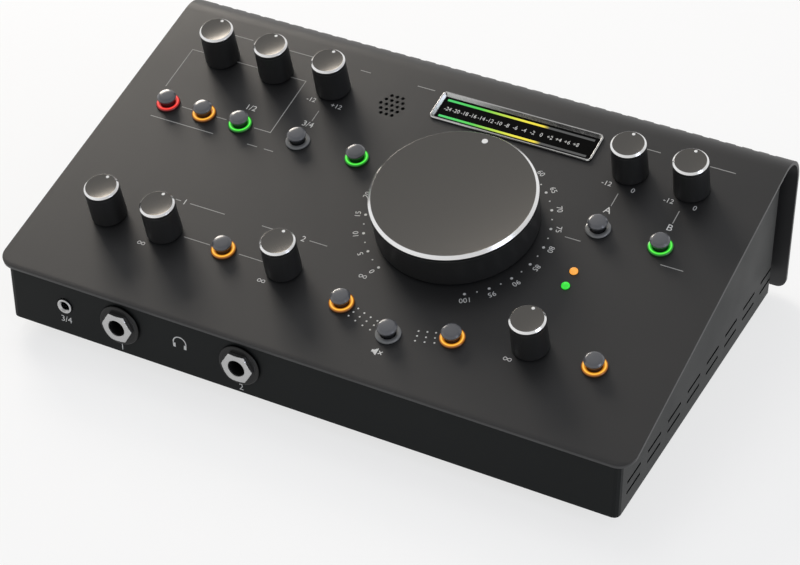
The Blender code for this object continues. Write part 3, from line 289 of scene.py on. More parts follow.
def eased(corners, steps=4, guard=0.04):
    """A profile through corners (radius, height, ease), each corner rounded by a quadratic curve.

    The curve starts and ends ease away from the corner. A guard point just beyond either end
    keeps the shading of the flat stretches flat.
    """
    points = [np.array(corners[0][:2], float)]
    for before, here, after in zip(corners, corners[1:], corners[2:]):
        corner = np.array(here[:2], float)
        ease = here[2] if len(here) > 2 else 0.0
        if not ease:
            points.append(corner)
            continue
        back = np.array(before[:2]) - corner
        on = np.array(after[:2]) - corner
        back = back / np.linalg.norm(back)
        on = on / np.linalg.norm(on)
        share = np.linspace(0, 1, steps + 1)[:, None]
        start = corner + back * ease
        end = corner + on * ease
        curve = (1 - share) ** 2 * start + 2 * share * (1 - share) * corner + share ** 2 * end
        points += [start + back * guard, *curve, end + on * guard]
    points.append(np.array(corners[-1][:2], float))
    return np.array(points)


def lengths_along(points):
    return np.concatenate([[0.0], np.cumsum(np.linalg.norm(np.diff(points, axis=0), axis=1))])


def turned(profile, place, steps=64):
    """A surface of revolution: (r cos a, r sin a, h) for the profile's r and h and the turn a.

    Its UV map holds the share of the turn and the length along the profile in millimetres.
    """
    profile = np.asarray(profile, float)
    angle = np.linspace(0, 2 * math.pi, steps + 1)
    radius, height = profile[:, :1], profile[:, 1:]
    points = np.stack(np.broadcast_arrays(radius * np.cos(angle), radius * np.sin(angle), height), axis=-1)
    uv = np.stack(np.broadcast_arrays(angle / (2 * math.pi), lengths_along(profile)[:, None]), axis=-1)
    return surface(points, place, uv)


def hexagon_radius(angle, flats):
    """Distance from the middle to the side of a hexagon that has a flat at 90 degrees."""
    return flats / 2 / np.cos(np.mod(angle, math.pi / 3) - math.pi / 6)


def nut(place, flats, thickness, bore, seat=0.0):
    """A hexagon nut: r is the least of the hexagon and of a cone that chamfers its corners."""
    angle = np.linspace(0, 2 * math.pi, NUT_STEPS)
    top = seat + thickness
    heights = np.array([seat, *(top - NUT_CHAMFER * np.array([1, 2 / 3, 1 / 2, 1 / 3, 1 / 6, 0]))])
    cone = flats / 2 * NUT_FACE_SHARE + (top - heights) * NUT_CONE
    side = np.minimum(hexagon_radius(angle, flats)[None, :], cone[:, None])
    inside = np.full_like(angle, bore)
    rings = [inside, *side, inside + NUT_MOUTH, inside, inside]
    levels = [seat, *heights, top, top - NUT_MOUTH, seat]
    radius = np.array(rings)
    height = np.array(levels)[:, None]
    points = np.stack(np.broadcast_arrays(radius * np.cos(angle), radius * np.sin(angle), height), axis=-1)
    uv = points[:, :, :2]
    return surface(points, place, uv)


def rounded_loop(width, depth, radius, steps=6):
    """A closed rectangle with round corners, as points and as the directions outwards at them."""
    turn = np.linspace(0, math.pi / 2, steps + 1)
    points = []
    outward = []
    for quarter, (across, along) in enumerate(((1, 1), (-1, 1), (-1, -1), (1, -1))):
        angle = turn + quarter * math.pi / 2
        direction = np.stack([np.cos(angle), np.sin(angle)], axis=-1)
        middle = np.array([across * (width / 2 - radius), along * (depth / 2 - radius)])
        points.append(middle + radius * direction)
        outward.append(direction)
    points = np.concatenate(points)
    outward = np.concatenate(outward)
    return np.concatenate([points, points[:1]]), np.concatenate([outward, outward[:1]])


def framed(profile, loop, place, closed=True):
    """A profile swept round a loop: each point is p + o n at height h, for the profile's o and h."""
    points, outward = loop
    profile = np.asarray(profile, float)
    if closed:
        profile = np.concatenate([profile, profile[:1]])
    flat = points[None] + profile[:, 0][:, None, None] * outward[None]
    height = np.broadcast_to(profile[:, 1][:, None, None], flat.shape[:2] + (1,))
    along = np.broadcast_to(lengths_along(points)[None, :], flat.shape[:2])
    across = np.broadcast_to(lengths_along(profile)[:, None], flat.shape[:2])
    return surface(np.concatenate([flat, height], axis=-1), place, np.stack([along, across], axis=-1))


def stroke(points, width, place):
    """A printed line: a low ridge of ink along a path, mitred at its corners and closed at its ends."""
    points = np.asarray(points, float)
    steps = np.diff(points, axis=0)
    sides = np.stack([-steps[:, 1], steps[:, 0]], axis=-1) / np.linalg.norm(steps, axis=1)[:, None]
    before = np.concatenate([sides[:1], sides])
    after = np.concatenate([sides, sides[-1:]])
    mitre = (before + after) / (1 + np.sum(before * after, axis=1))[:, None]
    across = np.array([-1, -RIDGE_SHARE, RIDGE_SHARE, 1]) * width / 2
    height = np.array([-INK, INK, INK, -INK])
    rows = points[:, None] + across[None, :, None] * mitre[:, None]
    ridge = np.concatenate([rows, np.broadcast_to(height[None, :, None], rows.shape[:2] + (1,))], axis=-1)
    sunk = np.concatenate([rows, np.full(rows.shape[:2] + (1,), -INK)], axis=-1)
    return surface(np.concatenate([sunk[:1], ridge, sunk[-1:]]), place)


def dot(x, y, radius, place, steps=14):
    """A printed dot: a low disc of ink, a little rounded at its rim."""
    profile = [(0, INK), (radius * DOT_SHARE, INK), (radius, -INK)]
    return turned(profile, place @ Matrix.Translation((x, y, 0)), steps)


def joined(meshes):
    """Several meshes as one."""
    shape = bmesh.new()
    for mesh in meshes:
        shape.from_mesh(mesh)
    result = bpy.data.meshes.new("joined")
    shape.to_mesh(result)
    shape.free()
    result.shade_smooth()
    result.set_sharp_from_angle(angle=SHARP)
    return result


def sign_mesh(text, size, place, turn=0.0):
    """One printed sign as a thin mesh, its figures size millimetres high."""
    curve = bpy.data.curves.new("sign", "FONT")
    curve.body = text
    curve.size = size / FIGURE_SHARE
    curve.align_x = "CENTER"
    curve.align_y = "CENTER"
    curve.extrude = INK
    curve.resolution_u = 3
    holder = bpy.data.objects.new("sign", curve)
    bpy.context.scene.collection.objects.link(holder)
    graph = bpy.context.evaluated_depsgraph_get()
    mesh = bpy.data.meshes.new_from_object(holder.evaluated_get(graph))
    bpy.data.objects.remove(holder)
    mesh.transform(place @ Matrix.Rotation(turn, 4, "Z"))
    return mesh


def put(name, mesh, finish, body="housing", stands_for=()):
    """Makes a piece of a finished mesh, gives it its finish and lets it ride on its body."""
    piece = bpy.data.objects.new(name, mesh)
    bpy.context.scene.collection.objects.link(piece)
    mesh.name = name
    if not mesh.materials:
        for item in finish if isinstance(finish, (list, tuple)) else [finish]:
            mesh.materials.append(item)
    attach(piece, body)
    if stands_for:
        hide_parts(*stands_for)
    return piece


def evaluated(holder):
    """The mesh of a piece with its modifiers applied."""
    graph = bpy.context.evaluated_depsgraph_get()
    return bpy.data.meshes.new_from_object(holder.evaluated_get(graph))


def held(mesh):
    holder = bpy.data.objects.new("holder", mesh)
    bpy.context.scene.collection.objects.link(holder)
    return holder


def refined(node, edge=0.2, segments=2):
    """A merged copy of a CAD node whose flat faces are whole again and whose edges are a bit round."""
    mesh = NODES[node].data.copy()
    mesh.materials.clear()
    shape = bmesh.new()
    shape.from_mesh(mesh)
    bmesh.ops.remove_doubles(shape, verts=shape.verts, dist=MERGE * MM)
    bmesh.ops.dissolve_limit(shape, angle_limit=math.radians(1), verts=shape.verts, edges=shape.edges)
    bmesh.ops.recalc_face_normals(shape, faces=shape.faces)
    shape.to_mesh(mesh)
    shape.free()
    holder = held(mesh)
    bevel = holder.modifiers.new("edges", "BEVEL")
    bevel.width = edge * MM
    bevel.segments = segments
    bevel.limit_method = "ANGLE"
    bevel.angle_limit = math.radians(40)
    bevel.miter_outer = "MITER_ARC"
    result = evaluated(holder)
    bpy.data.objects.remove(holder)
    return cleaned(result)


def by_face(mesh, place, test, index):
    """Gives the faces that pass a test of their middle and direction, in a place's frame, a finish."""
    count = len(mesh.polygons)
    middle = np.empty(count * 3)
    normal = np.empty(count * 3)
    mesh.polygons.foreach_get("center", middle)
    mesh.polygons.foreach_get("normal", normal)
    middle = moved(middle.reshape(-1, 3), place.inverted())
    normal = normal.reshape(-1, 3) @ np.array(place.to_3x3().normalized())
    chosen = np.empty(count, np.int32)
    mesh.polygons.foreach_get("material_index", chosen)
    chosen[test(middle, normal)] = index
    mesh.polygons.foreach_set("material_index", chosen)
    return mesh


def linear(colour):
    """An sRGB colour written as six hexadecimal digits, as linear red, green, blue and alpha."""
    values = [int(colour[i:i + 2], 16) / 255 for i in (1, 3, 5)]
    return [v / 12.92 if v <= 0.04045 else ((v + 0.055) / 1.055) ** 2.4 for v in values] + [1.0]


def add_node(tree, kind, values=None, links=None, **settings):
    """Adds a node with its settings, the values of its inputs and the links into them."""
    node = tree.nodes.new(kind)
    for key, value in settings.items():
        setattr(node, key, value)
    for key, value in (values or {}).items():
        node.inputs[key].default_value = value
    for key, socket in (links or {}).items():
        tree.links.new(socket, node.inputs[key])
    return node


def new_material(name, colour, roughness, metallic=0.0, **values):
    """A Principled material, its node tree and its shader; further values name the shader's sockets."""
    material = bpy.data.materials.new(name)
    material.use_nodes = True
    tree = material.node_tree
    shader = tree.nodes["Principled BSDF"]
    shader.inputs["Base Color"].default_value = linear(colour)
    shader.inputs["Roughness"].default_value = roughness
    shader.inputs["Metallic"].default_value = metallic
    for key, value in values.items():
        shader.inputs[key.replace("_", " ")].default_value = value
    return material, tree, shader


def millimetres(tree):
    place = add_node(tree, "ShaderNodeTexCoord")
    return add_node(tree, "ShaderNodeMapping", {"Scale": (1 / MM, 1 / MM, 1 / MM)},
                    {"Vector": place.outputs["Object"]}).outputs["Vector"]


def noise(tree, period, detail=2.0, vector=None):
    """Noise whose blobs are about period millimetres wide."""
    return add_node(tree, "ShaderNodeTexNoise", {"Scale": 1 / period, "Detail": detail},
                    {"Vector": vector or millimetres(tree)}).outputs["Fac"]


def ranged(tree, value, low, high, start=0.3, end=0.7):
    return add_node(tree, "ShaderNodeMapRange",
                    {"From Min": start, "From Max": end, "To Min": low, "To Max": high},
                    {"Value": value}).outputs["Result"]


def roughen(tree, shader, height, depth):
    """Lets a height pattern stand depth millimetres out of the surface."""
    bump = add_node(tree, "ShaderNodeBump", {"Distance": depth * MM}, {"Height": height})
    tree.links.new(bump.outputs["Normal"], shader.inputs["Normal"])


def powder_coat(name, colour, roughness, specular):
    """Powder coat on steel: a fine orange peel in the bump breaks the gloss into a soft sheen."""
    material, tree, shader = new_material(name, colour, roughness, Specular_IOR_Level=specular)
    roughen(tree, shader, noise(tree, 0.45, 3.0), 0.02)
    cloud = noise(tree, 30.0)
    tree.links.new(ranged(tree, cloud, roughness - 0.03, roughness + 0.03), shader.inputs["Roughness"])
    return material


def moulded_plastic(name, colour, roughness, period=0.6, depth=0.008, specular=0.5):
    """Moulded plastic: a faint spark-eroded grain keeps its reflections from looking like glass."""
    material, tree, shader = new_material(name, colour, roughness, Specular_IOR_Level=specular)
    roughen(tree, shader, noise(tree, period, 2.0), depth)
    return material


def drawn_plastic(name, colour, roughness):
    """The side of a knob: faint upright marks of its mould split the highlight into soft stripes."""
    material, tree, shader = new_material(name, colour, roughness, Specular_IOR_Level=0.45)
    place = add_node(tree, "ShaderNodeUVMap", uv_map="surface")
    upright = add_node(tree, "ShaderNodeMapping", {"Scale": (48.0, 0.02, 1.0)},
                       {"Vector": place.outputs["UV"]})
    marks = add_node(tree, "ShaderNodeTexNoise", {"Scale": 1.0, "Detail": 1.0},
                     {"Vector": upright.outputs["Vector"]}).outputs["Fac"]
    roughen(tree, shader, marks, 0.05)
    return material


def turned_metal(name, colour, roughness, depth):
    """Metal faced on a lathe: rings along the profile's length stretch the highlight across them."""
    material, tree, shader = new_material(name, colour, roughness, 1.0)
    place = add_node(tree, "ShaderNodeUVMap", uv_map="surface")
    flat = add_node(tree, "ShaderNodeMapping", {"Scale": (0.0, 14.0, 1.0)}, {"Vector": place.outputs["UV"]})
    grooves = add_node(tree, "ShaderNodeTexNoise", {"Scale": 1.0, "Detail": 3.0},
                       {"Vector": flat.outputs["Vector"]}).outputs["Fac"]
    roughen(tree, shader, grooves, depth)
    return material


def brushed_metal(name, colour, roughness, depth=0.003):
    """Plated steel: fine scratches in one direction and slight stains in its gloss."""
    material, tree, shader = new_material(name, colour, roughness, 1.0)
    scratch = add_node(tree, "ShaderNodeMapping", {"Scale": (0.6, 9.0, 9.0)}, {"Vector": millimetres(tree)})
    roughen(tree, shader, noise(tree, 1.0, 3.0, scratch.outputs["Vector"]), depth)
    cloud = noise(tree, 3.0)
    tree.links.new(ranged(tree, cloud, roughness * 0.8, roughness * 1.3), shader.inputs["Roughness"])
    return material


def glowing_plastic(name, body, crest, foot, strength):
    """A lit light guide: the glow is palest along the crest of the ring and sinks to both its feet.

    It reads the length along the profile, which is RING_SKIN from foot to foot.
    """
    material, tree, shader = new_material(name, body, 0.25)
    place = add_node(tree, "ShaderNodeUVMap", uv_map="surface")
    split = add_node(tree, "ShaderNodeSeparateXYZ", links={"Vector": place.outputs["UV"]})
    ramp = add_node(tree, "ShaderNodeValToRGB",
                    links={"Fac": ranged(tree, split.outputs["Y"], 0.0, 1.0, 0.0, RING_SKIN)})
    stops = ((0.0, body), (0.95, body), (0.38, foot), (0.6, crest), (0.76, foot))
    colour_stops(ramp, stops)
    tree.links.new(ramp.outputs["Color"], shader.inputs["Emission Color"])
    shader.inputs["Emission Strength"].default_value = strength
    return material


def lit_plastic(name, colour, glow):
    """A lit lamp: milky plastic whose glow is a little uneven where its moulding shrank."""
    material, tree, shader = new_material(name, colour, 0.3)
    shader.inputs["Emission Color"].default_value = linear(glow)
    tree.links.new(ranged(tree, noise(tree, 1.5), 0.85, 1.1), shader.inputs["Emission Strength"])
    return material


def clear_plastic(name, colour):
    """An unlit light guide: clear plastic, grey from the dark hole under it."""
    material, tree, shader = new_material(name, colour, 0.18, Coat_Weight=0.3, Coat_Roughness=0.1)
    roughen(tree, shader, noise(tree, 0.8, 1.0), 0.004)
    return material


def smoked_plastic(name, colour):
    """The button tops: smoked plastic under a clear gloss, a little uneven as mouldings are."""
    material, tree, shader = new_material(name, colour, 0.22, Coat_Weight=0.6, Coat_Roughness=0.08)
    roughen(tree, shader, noise(tree, 1.5, 1.0), 0.01)
    return material


def rubber(name, colour):
    """Moulded rubber: dull, with a dusty grain."""
    material, tree, shader = new_material(name, colour, 0.85, Specular_IOR_Level=0.3)
    roughen(tree, shader, noise(tree, 0.3, 3.0), 0.03)
    return material


def laminate(name, colour):
    """Solder resist over glass fibre: green lacquer with the weave just showing in its gloss."""
    material, tree, shader = new_material(name, colour, 0.4, Coat_Weight=0.3)
    weave = add_node(tree, "ShaderNodeTexChecker", {"Scale": 1.2}, {"Vector": millimetres(tree)})
    roughen(tree, shader, weave.outputs["Fac"], 0.01)
    return material


def ink(name, colour, roughness=0.6):
    """Screen printed ink: flat and even, a little mottled where the mesh of the screen was."""
    material, tree, shader = new_material(name, colour, roughness, Specular_IOR_Level=0.2)
    roughen(tree, shader, noise(tree, 0.2, 1.0), 0.004)
    return material


def dark_glass(name, colour):
    """The meter's window: smoked acrylic, almost black and very smooth."""
    material, tree, shader = new_material(name, colour, 0.2, Specular_IOR_Level=0.06)
    roughen(tree, shader, noise(tree, 12.0, 1.0), 0.004)
    return material


def colour_stops(ramp, stops):
    """Writes a colour ramp's stops; the first two take the two stops that it starts with."""
    points = ramp.color_ramp.elements
    for point, (at, colour) in zip(points, stops):
        point.position = at
        point.color = linear(colour)
    for at, colour in stops[2:]:
        points.new(at).color = linear(colour)


def meter_light(name, start, end):
    """The light bars: green to yellow along the scale, and dark past the level that shows."""
    material, tree, shader = new_material(name, "#151515", 0.3)
    place = add_node(tree, "ShaderNodeTexCoord")
    split = add_node(tree, "ShaderNodeSeparateXYZ", links={"Vector": place.outputs["Object"]})
    share = ranged(tree, split.outputs["X"], 0.0, 1.0, start * MM, end * MM)
    ramp = add_node(tree, "ShaderNodeValToRGB", links={"Fac": share})
    colour_stops(ramp, ((0.0, "#3fd06a"), (1.0, "#4a4b4b"), (0.22, "#4fd04a"), (0.4, "#c8de3c"),
                        (0.5, "#f0e63c"), (0.64, "#f4dc3a"), (0.68, "#4a4b4b")))
    tree.links.new(ramp.outputs["Color"], shader.inputs["Emission Color"])
    shader.inputs["Emission Strength"].default_value = 1.0
    return material


COVER_COAT = powder_coat("powder_coated_steel", "#1e1e1f", 0.45, 0.50)
CASE_COAT = powder_coat("dark_powder_coated_steel", "#1a1c1c", 0.42, 0.10)
KNOB_PLASTIC = drawn_plastic("knob_plastic", "#262626", 0.34)
JACK_PLASTIC = moulded_plastic("socket_plastic", "#141414", 0.45)
CAP_METAL = turned_metal("anodised_aluminium", "#6c6a67", 0.22, 0.001)
BRIGHT_METAL = turned_metal("diamond_cut_aluminium", "#e4e4e4", 0.18, 0.001)
NICKEL = brushed_metal("nickel_plate", "#b4b4b4", 0.24)
BEZEL_METAL = brushed_metal("meter_frame_metal", "#c2c2c1", 0.22, 0.0008)
WASHER_METAL = turned_metal("black_oxide_steel", "#333333", 0.34, 0.004)
BUTTON_PLASTIC = smoked_plastic("smoked_button_plastic", "#58595d")
# The button's neck and the underside of its rim: the same smoked plastic made darker, as painted shade under the
# overhang
SHADED_NECK_PLASTIC = smoked_plastic("button_neck_painted_shade", "#202123")
RUBBER = rubber("foot_rubber", "#141414")
LAMINATE = laminate("board_laminate", "#1d4a26")
GLASS = dark_glass("smoked_acrylic", "#050505")
WHITE_INK = ink("white_ink", "#dededc")
LINE_INK = ink("grey_ink", "#a8a8a6")
POINTER_PAINT = ink("pointer_paint", "#f4f4f2", 0.4)
GUIDE_LIGHTS = {
    "red_light": glowing_plastic("red_light", "#2c0606", "#ff5048", "#a01210", 1.25),
    "amber_light": glowing_plastic("amber_light", "#3a2004", "#ffc24a", "#a86008", 1.25),
    "green_light": glowing_plastic("green_light", "#082a0a", "#5cf850", "#128018", 1.25),
    "clear_plastic": clear_plastic("clear_light_guide", "#7a7b7b"),
}
LAMP_LIGHTS = {
    "amber_light": lit_plastic("amber_lamp", "#6a3c08", "#f8a848"),
    "green_light": lit_plastic("green_lamp", "#0c4a10", "#38e440"),
}
METER_LIGHT = meter_light("meter_light", -4.5, 58.5)
SLOT_FINISH = {
    "powder_coat": COVER_COAT, "black_coat": CASE_COAT, "board_laminate": LAMINATE,
    "satin_metal": BEZEL_METAL, "dark_window": GLASS, "jack_plastic": JACK_PLASTIC,
    "nickel": NICKEL, "rubber": RUBBER, "knob_plastic": KNOB_PLASTIC,
    "turned_aluminium": CAP_METAL, "smoked_plastic": BUTTON_PLASTIC, **GUIDE_LIGHTS,
}
SLOT_OF = {part["node"]: part["material_slot"] for part in frame["record"]["subparts"]}


def dress_cad_nodes():
    """Every CAD node that stays in sight gets the finish of its slot."""
    for node, item in NODES.items():
        item.data.materials.clear()
        item.data.materials.append(SLOT_FINISH[SLOT_OF[node]])


def cover_point(s, x):
    """The outer face of the bent sheet: up the slope, round the bend as an arc, then straight down."""
    turn = np.clip((s - PANEL_LENGTH) / BEND_RADIUS, 0, math.pi / 2 + SLOPE)
    lift = math.pi / 2 + SLOPE - turn
    before = np.minimum(s, PANEL_LENGTH) - PANEL_LENGTH
    after = np.maximum(s - PANEL_LENGTH - BEND_RADIUS * (math.pi / 2 + SLOPE), 0)
    y = BEND_Y + BEND_RADIUS * np.cos(lift) + before * math.cos(SLOPE)
    z = BEND_Z + BEND_RADIUS * np.sin(lift) + before * math.sin(SLOPE) - after
    return np.stack([x, y, z], axis=-1)


def vent_columns():
    count = int((2 * (HALF_WIDTH - VENT_MARGIN) - VENT_WIDTH) / VENT_PITCH) + 1
    return (np.arange(count) - (count - 1) / 2) * VENT_PITCH


def corner_start(x, radius):
    """How far a round corner sets back the edge of the sheet at each x."""
    over = np.clip(np.abs(x) - (HALF_WIDTH - radius), 0, radius)
    return radius - np.sqrt(radius ** 2 - over ** 2)


def sheet_mesh():
    """The bent sheet's outer face as one grid, its columns set by the vents, its rows by the bend."""
    bend_length = BEND_RADIUS * (math.pi / 2 + SLOPE)
    total = PANEL_LENGTH + bend_length + BEND_Z - PLATE_LIFT
    vent_start = PANEL_LENGTH + BEND_RADIUS * (VENT_START + SLOPE)
    vent_end = PANEL_LENGTH + bend_length + VENT_DROP
    corner = HALF_WIDTH - FRONT_CORNER + FRONT_CORNER * np.sin(np.linspace(0, math.pi / 2, 11))
    vents = vent_columns()
    edges = np.sort(np.concatenate([vents - VENT_WIDTH / 2, vents + VENT_WIDTH / 2]))
    columns = np.concatenate([-corner[::-1], edges, corner])
    rows = np.concatenate([
        np.linspace(0, FRONT_CORNER, 4),
        np.linspace(PANEL_LENGTH * 0.35, PANEL_LENGTH, 4),
        np.linspace(PANEL_LENGTH, vent_start, 6)[1:],
        np.linspace(vent_start, PANEL_LENGTH + bend_length, 10)[1:],
        [vent_end],
        np.linspace(total - REAR_CORNER, total, 3),
    ])
    s, x = np.meshgrid(rows, columns, indexing="ij")
    front = np.clip(1 - s / FRONT_CORNER, 0, 1) * corner_start(x, FRONT_CORNER)
    rear = np.clip(1 - (total - s) / REAR_CORNER, 0, 1) * corner_start(x, REAR_CORNER)
    points = cover_point(s + front - rear, x)
    middle = (columns[:-1] + columns[1:]) / 2
    in_vent = np.min(np.abs(middle[:, None] - vents[None, :]), axis=1) < VENT_WIDTH / 4
    halfway = (rows[:-1] + rows[1:]) / 2
    in_run = (halfway > vent_start) & (halfway < vent_end)
    return surface(points, CASE, keep=~(in_run[:, None] & in_vent[None, :]))


def drilled(pairs, boxes):
    """One mesh of round and square cutters: radius and place, or width, depth and place."""
    shape = bmesh.new()
    for radius, place in pairs:
        bmesh.ops.create_cone(shape, cap_ends=True, segments=HOLE_STEPS, radius1=radius, radius2=radius,
                              depth=4 * SHEET, matrix=place)
    for width, depth, place in boxes:
        bmesh.ops.create_cube(shape, size=1, matrix=place @ Matrix.Diagonal((width, depth, 4 * SHEET, 1)))
    mesh = bpy.data.meshes.new("cutters")
    shape.to_mesh(mesh)
    shape.free()
    return mesh


def mic_holes():
    """Five rows of 3, 4, 5, 4 and 3 holes in front of the microphone, as x and row."""
    x, row = panel_spot("knob_line_trim")
    middle = panel_spot("knob_phones_2")[0]
    places = []
    for step in range(-(MIC_ROW // 2), MIC_ROW // 2 + 1):
        count = MIC_ROW - abs(step)
        places += [(middle + (i - (count - 1) / 2) * MIC_PITCH, row + step * MIC_PITCH) for i in range(count)]
    return places


def column(node):
    """The middle of a node across the case."""
    return (lowest(node).x + highest(node).x) / 2


REAR_HEIGHT = (lowest("power_switch").z + highest("power_switch").z) / 2
LINE_JACKS = sorted(node for node in NODES if "_jack_" in node and "phone" not in node)
COMBOS = ("combo_input_1", "combo_input_2")
METER_X = panel_spot("volume_knob")[0]


def make_cover():
    """The cover: the grid made as thick as the sheet, its edges rounded, then all its holes cut."""
    holder = held(sheet_mesh())
    solid = holder.modifiers.new("sheet", "SOLIDIFY")
    solid.thickness = SHEET * MM
    solid.offset = -1
    edge = holder.modifiers.new("edges", "BEVEL")
    edge.width = SHEET_EDGE * MM
    edge.segments = 2
    edge.limit_method = "ANGLE"
    edge.angle_limit = math.radians(50)
    mesh = evaluated(holder)
    bpy.data.objects.remove(holder)
    holder = held(mesh)
    through = -SHEET / 2
    sink = Matrix.Translation((0, 0, through))
    holes = [(SPINDLE + SPINDLE_GAP, place_of(child) @ sink) for child in JOINTS if "knob" in child]
    holes += [(RING_TUBE + RING_GAP, place_of(child) @ sink) for child in JOINTS if "button" in child]
    lamp_x = panel_spot("knob_talkback")[0]
    holes += [(LAMP_HOLE, on_panel(lamp_x, row, through)) for row in LAMP_ROWS]
    holes += [(MIC_HOLE, on_panel(x, row, through)) for x, row in mic_holes()]
    sockets = [(JACK_SLEEVE + SLEEVE_GAP, node) for node in LINE_JACKS]
    sockets += [(COMBO_HOLE, node) for node in COMBOS]
    sockets += [(DC_HOLE, "dc_socket"), (SWITCH_HOLE, "power_switch")]
    holes += [(radius, on_rear(column(node), REAR_HEIGHT, through)) for radius, node in sockets]
    holes += [(SCREW_HOLE, on_rear(column(node), REAR_HEIGHT, through) @ Matrix.Translation((-side, side, 0)))
              for node in COMBOS for side in (-SCREW_OFFSET, SCREW_OFFSET)]
    boxes = [(*USB_HOLE, on_rear(column("usb_socket"), REAR_HEIGHT, through)),
             (METER_WIDTH - 2 * METER_SEAT, METER_HEIGHT - 2 * METER_SEAT,
              on_panel(METER_X, METER_ROW, through))]
    cutter = held(drilled(holes, boxes))
    cut = holder.modifiers.new("holes", "BOOLEAN")
    cut.operation = "DIFFERENCE"
    cut.solver = "EXACT"
    cut.object = cutter
    mesh = cleaned(evaluated(holder))
    bpy.data.objects.remove(holder)
    bpy.data.objects.remove(cutter)
    put("sheet_cover", mesh, COVER_COAT, stands_for=["top_cover"])


def merged(node):
    """A copy of a CAD node with its doubled points merged and its flat walls shaded flat."""
    mesh = NODES[node].data.copy()
    mesh.materials.clear()
    cleaned(mesh).shade_flat()
    return mesh


def make_case():
    put("case_tray", merged("chassis_tray"), CASE_COAT, stands_for=["chassis_tray"])
    put("base_plate", refined("bottom_cover", 0.25), CASE_COAT,
        stands_for=["bottom_cover"])
    for node in sorted(node for node in NODES if node.startswith("rubber_foot")):
        low, high = lowest(node), highest(node)
        radius = (high.x - low.x) / 2
        place = CASE @ Matrix.Translation(((low.x + high.x) / 2, (low.y + high.y) / 2 - FRONT_EDGE, 0))
        profile = eased([(0, high.z), (radius, high.z, 0.3), (radius - 0.8, 0, 0.8), (radius - 3, 0, 0.4),
                         (radius - 3.4, 0.5, 0.3), (0, 0.5)])
        put("foot" + node[len("rubber_foot"):], turned(profile, place, 48), RUBBER,
            stands_for=[node])


def cap_mesh(place, radius, top, seam, chamfer, steps):
    """The metal disc on a knob: satin face, bright cut edge and a black side down to the seam."""
    dish = top - CAP_DISH
    profile = eased([(0, dish), (radius - chamfer - 0.25, dish), (radius - chamfer, top, CAP_DISH),
                     (radius, top - chamfer, 0.08), (radius, seam, 0.1), (0, seam)])
    mesh = turned(profile, place, steps)
    for finish in (CAP_METAL, BRIGHT_METAL, KNOB_PLASTIC):
        mesh.materials.append(finish)
    by_face(mesh, place, lambda middle, normal: (np.abs(normal[:, 2] - 0.6) < 0.28)
            & (np.hypot(middle[:, 0], middle[:, 1]) > radius - chamfer - 0.1), 1)
    return by_face(mesh, place, lambda middle, normal: normal[:, 2] < 0.3, 2)


def pointer_mesh(place, out, height, radius, steps):
    """The painted dot near the edge of a cap, a little domed at its rim."""
    inner = radius - POINTER_EDGE
    profile = [(0, POINTER_LIFT), (inner, POINTER_LIFT), (radius, 0), (inner, -POINTER_EDGE),
               (0, -POINTER_EDGE)]
    return turned(profile, place @ Matrix.Translation((0, out, height - CAP_DISH)), steps)


def make_knob(name):
    """A small knob: plastic skirt with a seam under its cap, cap with a bright cut edge, and pointer."""
    child = "knob_" + name
    place = place_of(child)
    seam = KNOB_HEIGHT - CAP_HEIGHT
    roof = KNOB_LIFT + KNOB_HOLLOW
    skirt = eased([(0, seam), (KNOB_TOP - SEAM_DEPTH, seam), (KNOB_TOP - SEAM_DEPTH, seam - SEAM),
                   (KNOB_TOP, seam - SEAM, 0.12), (KNOB_BASE, KNOB_LIFT, 0.25),
                   (KNOB_BASE - KNOB_WALL, KNOB_LIFT), (KNOB_BASE - KNOB_WALL - 0.2, roof), (SPINDLE, roof),
                   (SPINDLE, SPINDLE_LOW), (0, SPINDLE_LOW)])
    put("skirt_" + name, turned(skirt, place, KNOB_STEPS), KNOB_PLASTIC, child, [child])
    mesh = cap_mesh(place, KNOB_TOP, KNOB_HEIGHT, seam, CAP_CHAMFER, KNOB_STEPS)
    put("cap_" + name, mesh, None, child)
    put("pointer_" + name, pointer_mesh(place, POINTER_OUT, KNOB_HEIGHT, POINTER, 24), POINTER_PAINT, child)


def make_volume_knob():
    """The wide knob: a hollow shell with its boss and spindle, a cap with a cut edge, and pointer."""
    child = "volume_knob"
    place = place_of(child)
    seam = VOLUME_HEIGHT - CAP_HEIGHT
    top = seam - FIT
    edge = top - VOLUME_SEAM
    roof = top - VOLUME_ROOF
    shell = eased([(0, top), (VOLUME_TOP - VOLUME_SEAM_DEPTH, top), (VOLUME_TOP - VOLUME_SEAM_DEPTH, edge),
                   (VOLUME_TOP, edge, 0.15), (VOLUME_BASE, KNOB_LIFT + 0.3, 0.2),
                   (VOLUME_BASE - 0.3, KNOB_LIFT, 0.15), (VOLUME_BASE - VOLUME_WALL, KNOB_LIFT),
                   (VOLUME_TOP - VOLUME_WALL, roof), (VOLUME_BOSS, roof), (VOLUME_BOSS, VOLUME_BOSS_LOW),
                   (SPINDLE, VOLUME_BOSS_LOW), (SPINDLE, SPINDLE_LOW), (0, SPINDLE_LOW)])
    put("volume_shell", turned(shell, place, VOLUME_STEPS), KNOB_PLASTIC, child, [child])
    mesh = cap_mesh(place, VOLUME_TOP, VOLUME_HEIGHT, seam, VOLUME_CHAMFER, VOLUME_STEPS)
    put("volume_cap", mesh, None, child, ["volume_knob_cap"])
    mesh = pointer_mesh(place, VOLUME_POINTER_OUT, VOLUME_HEIGHT, VOLUME_POINTER, 32)
    put("volume_pointer", mesh, POINTER_PAINT, child)


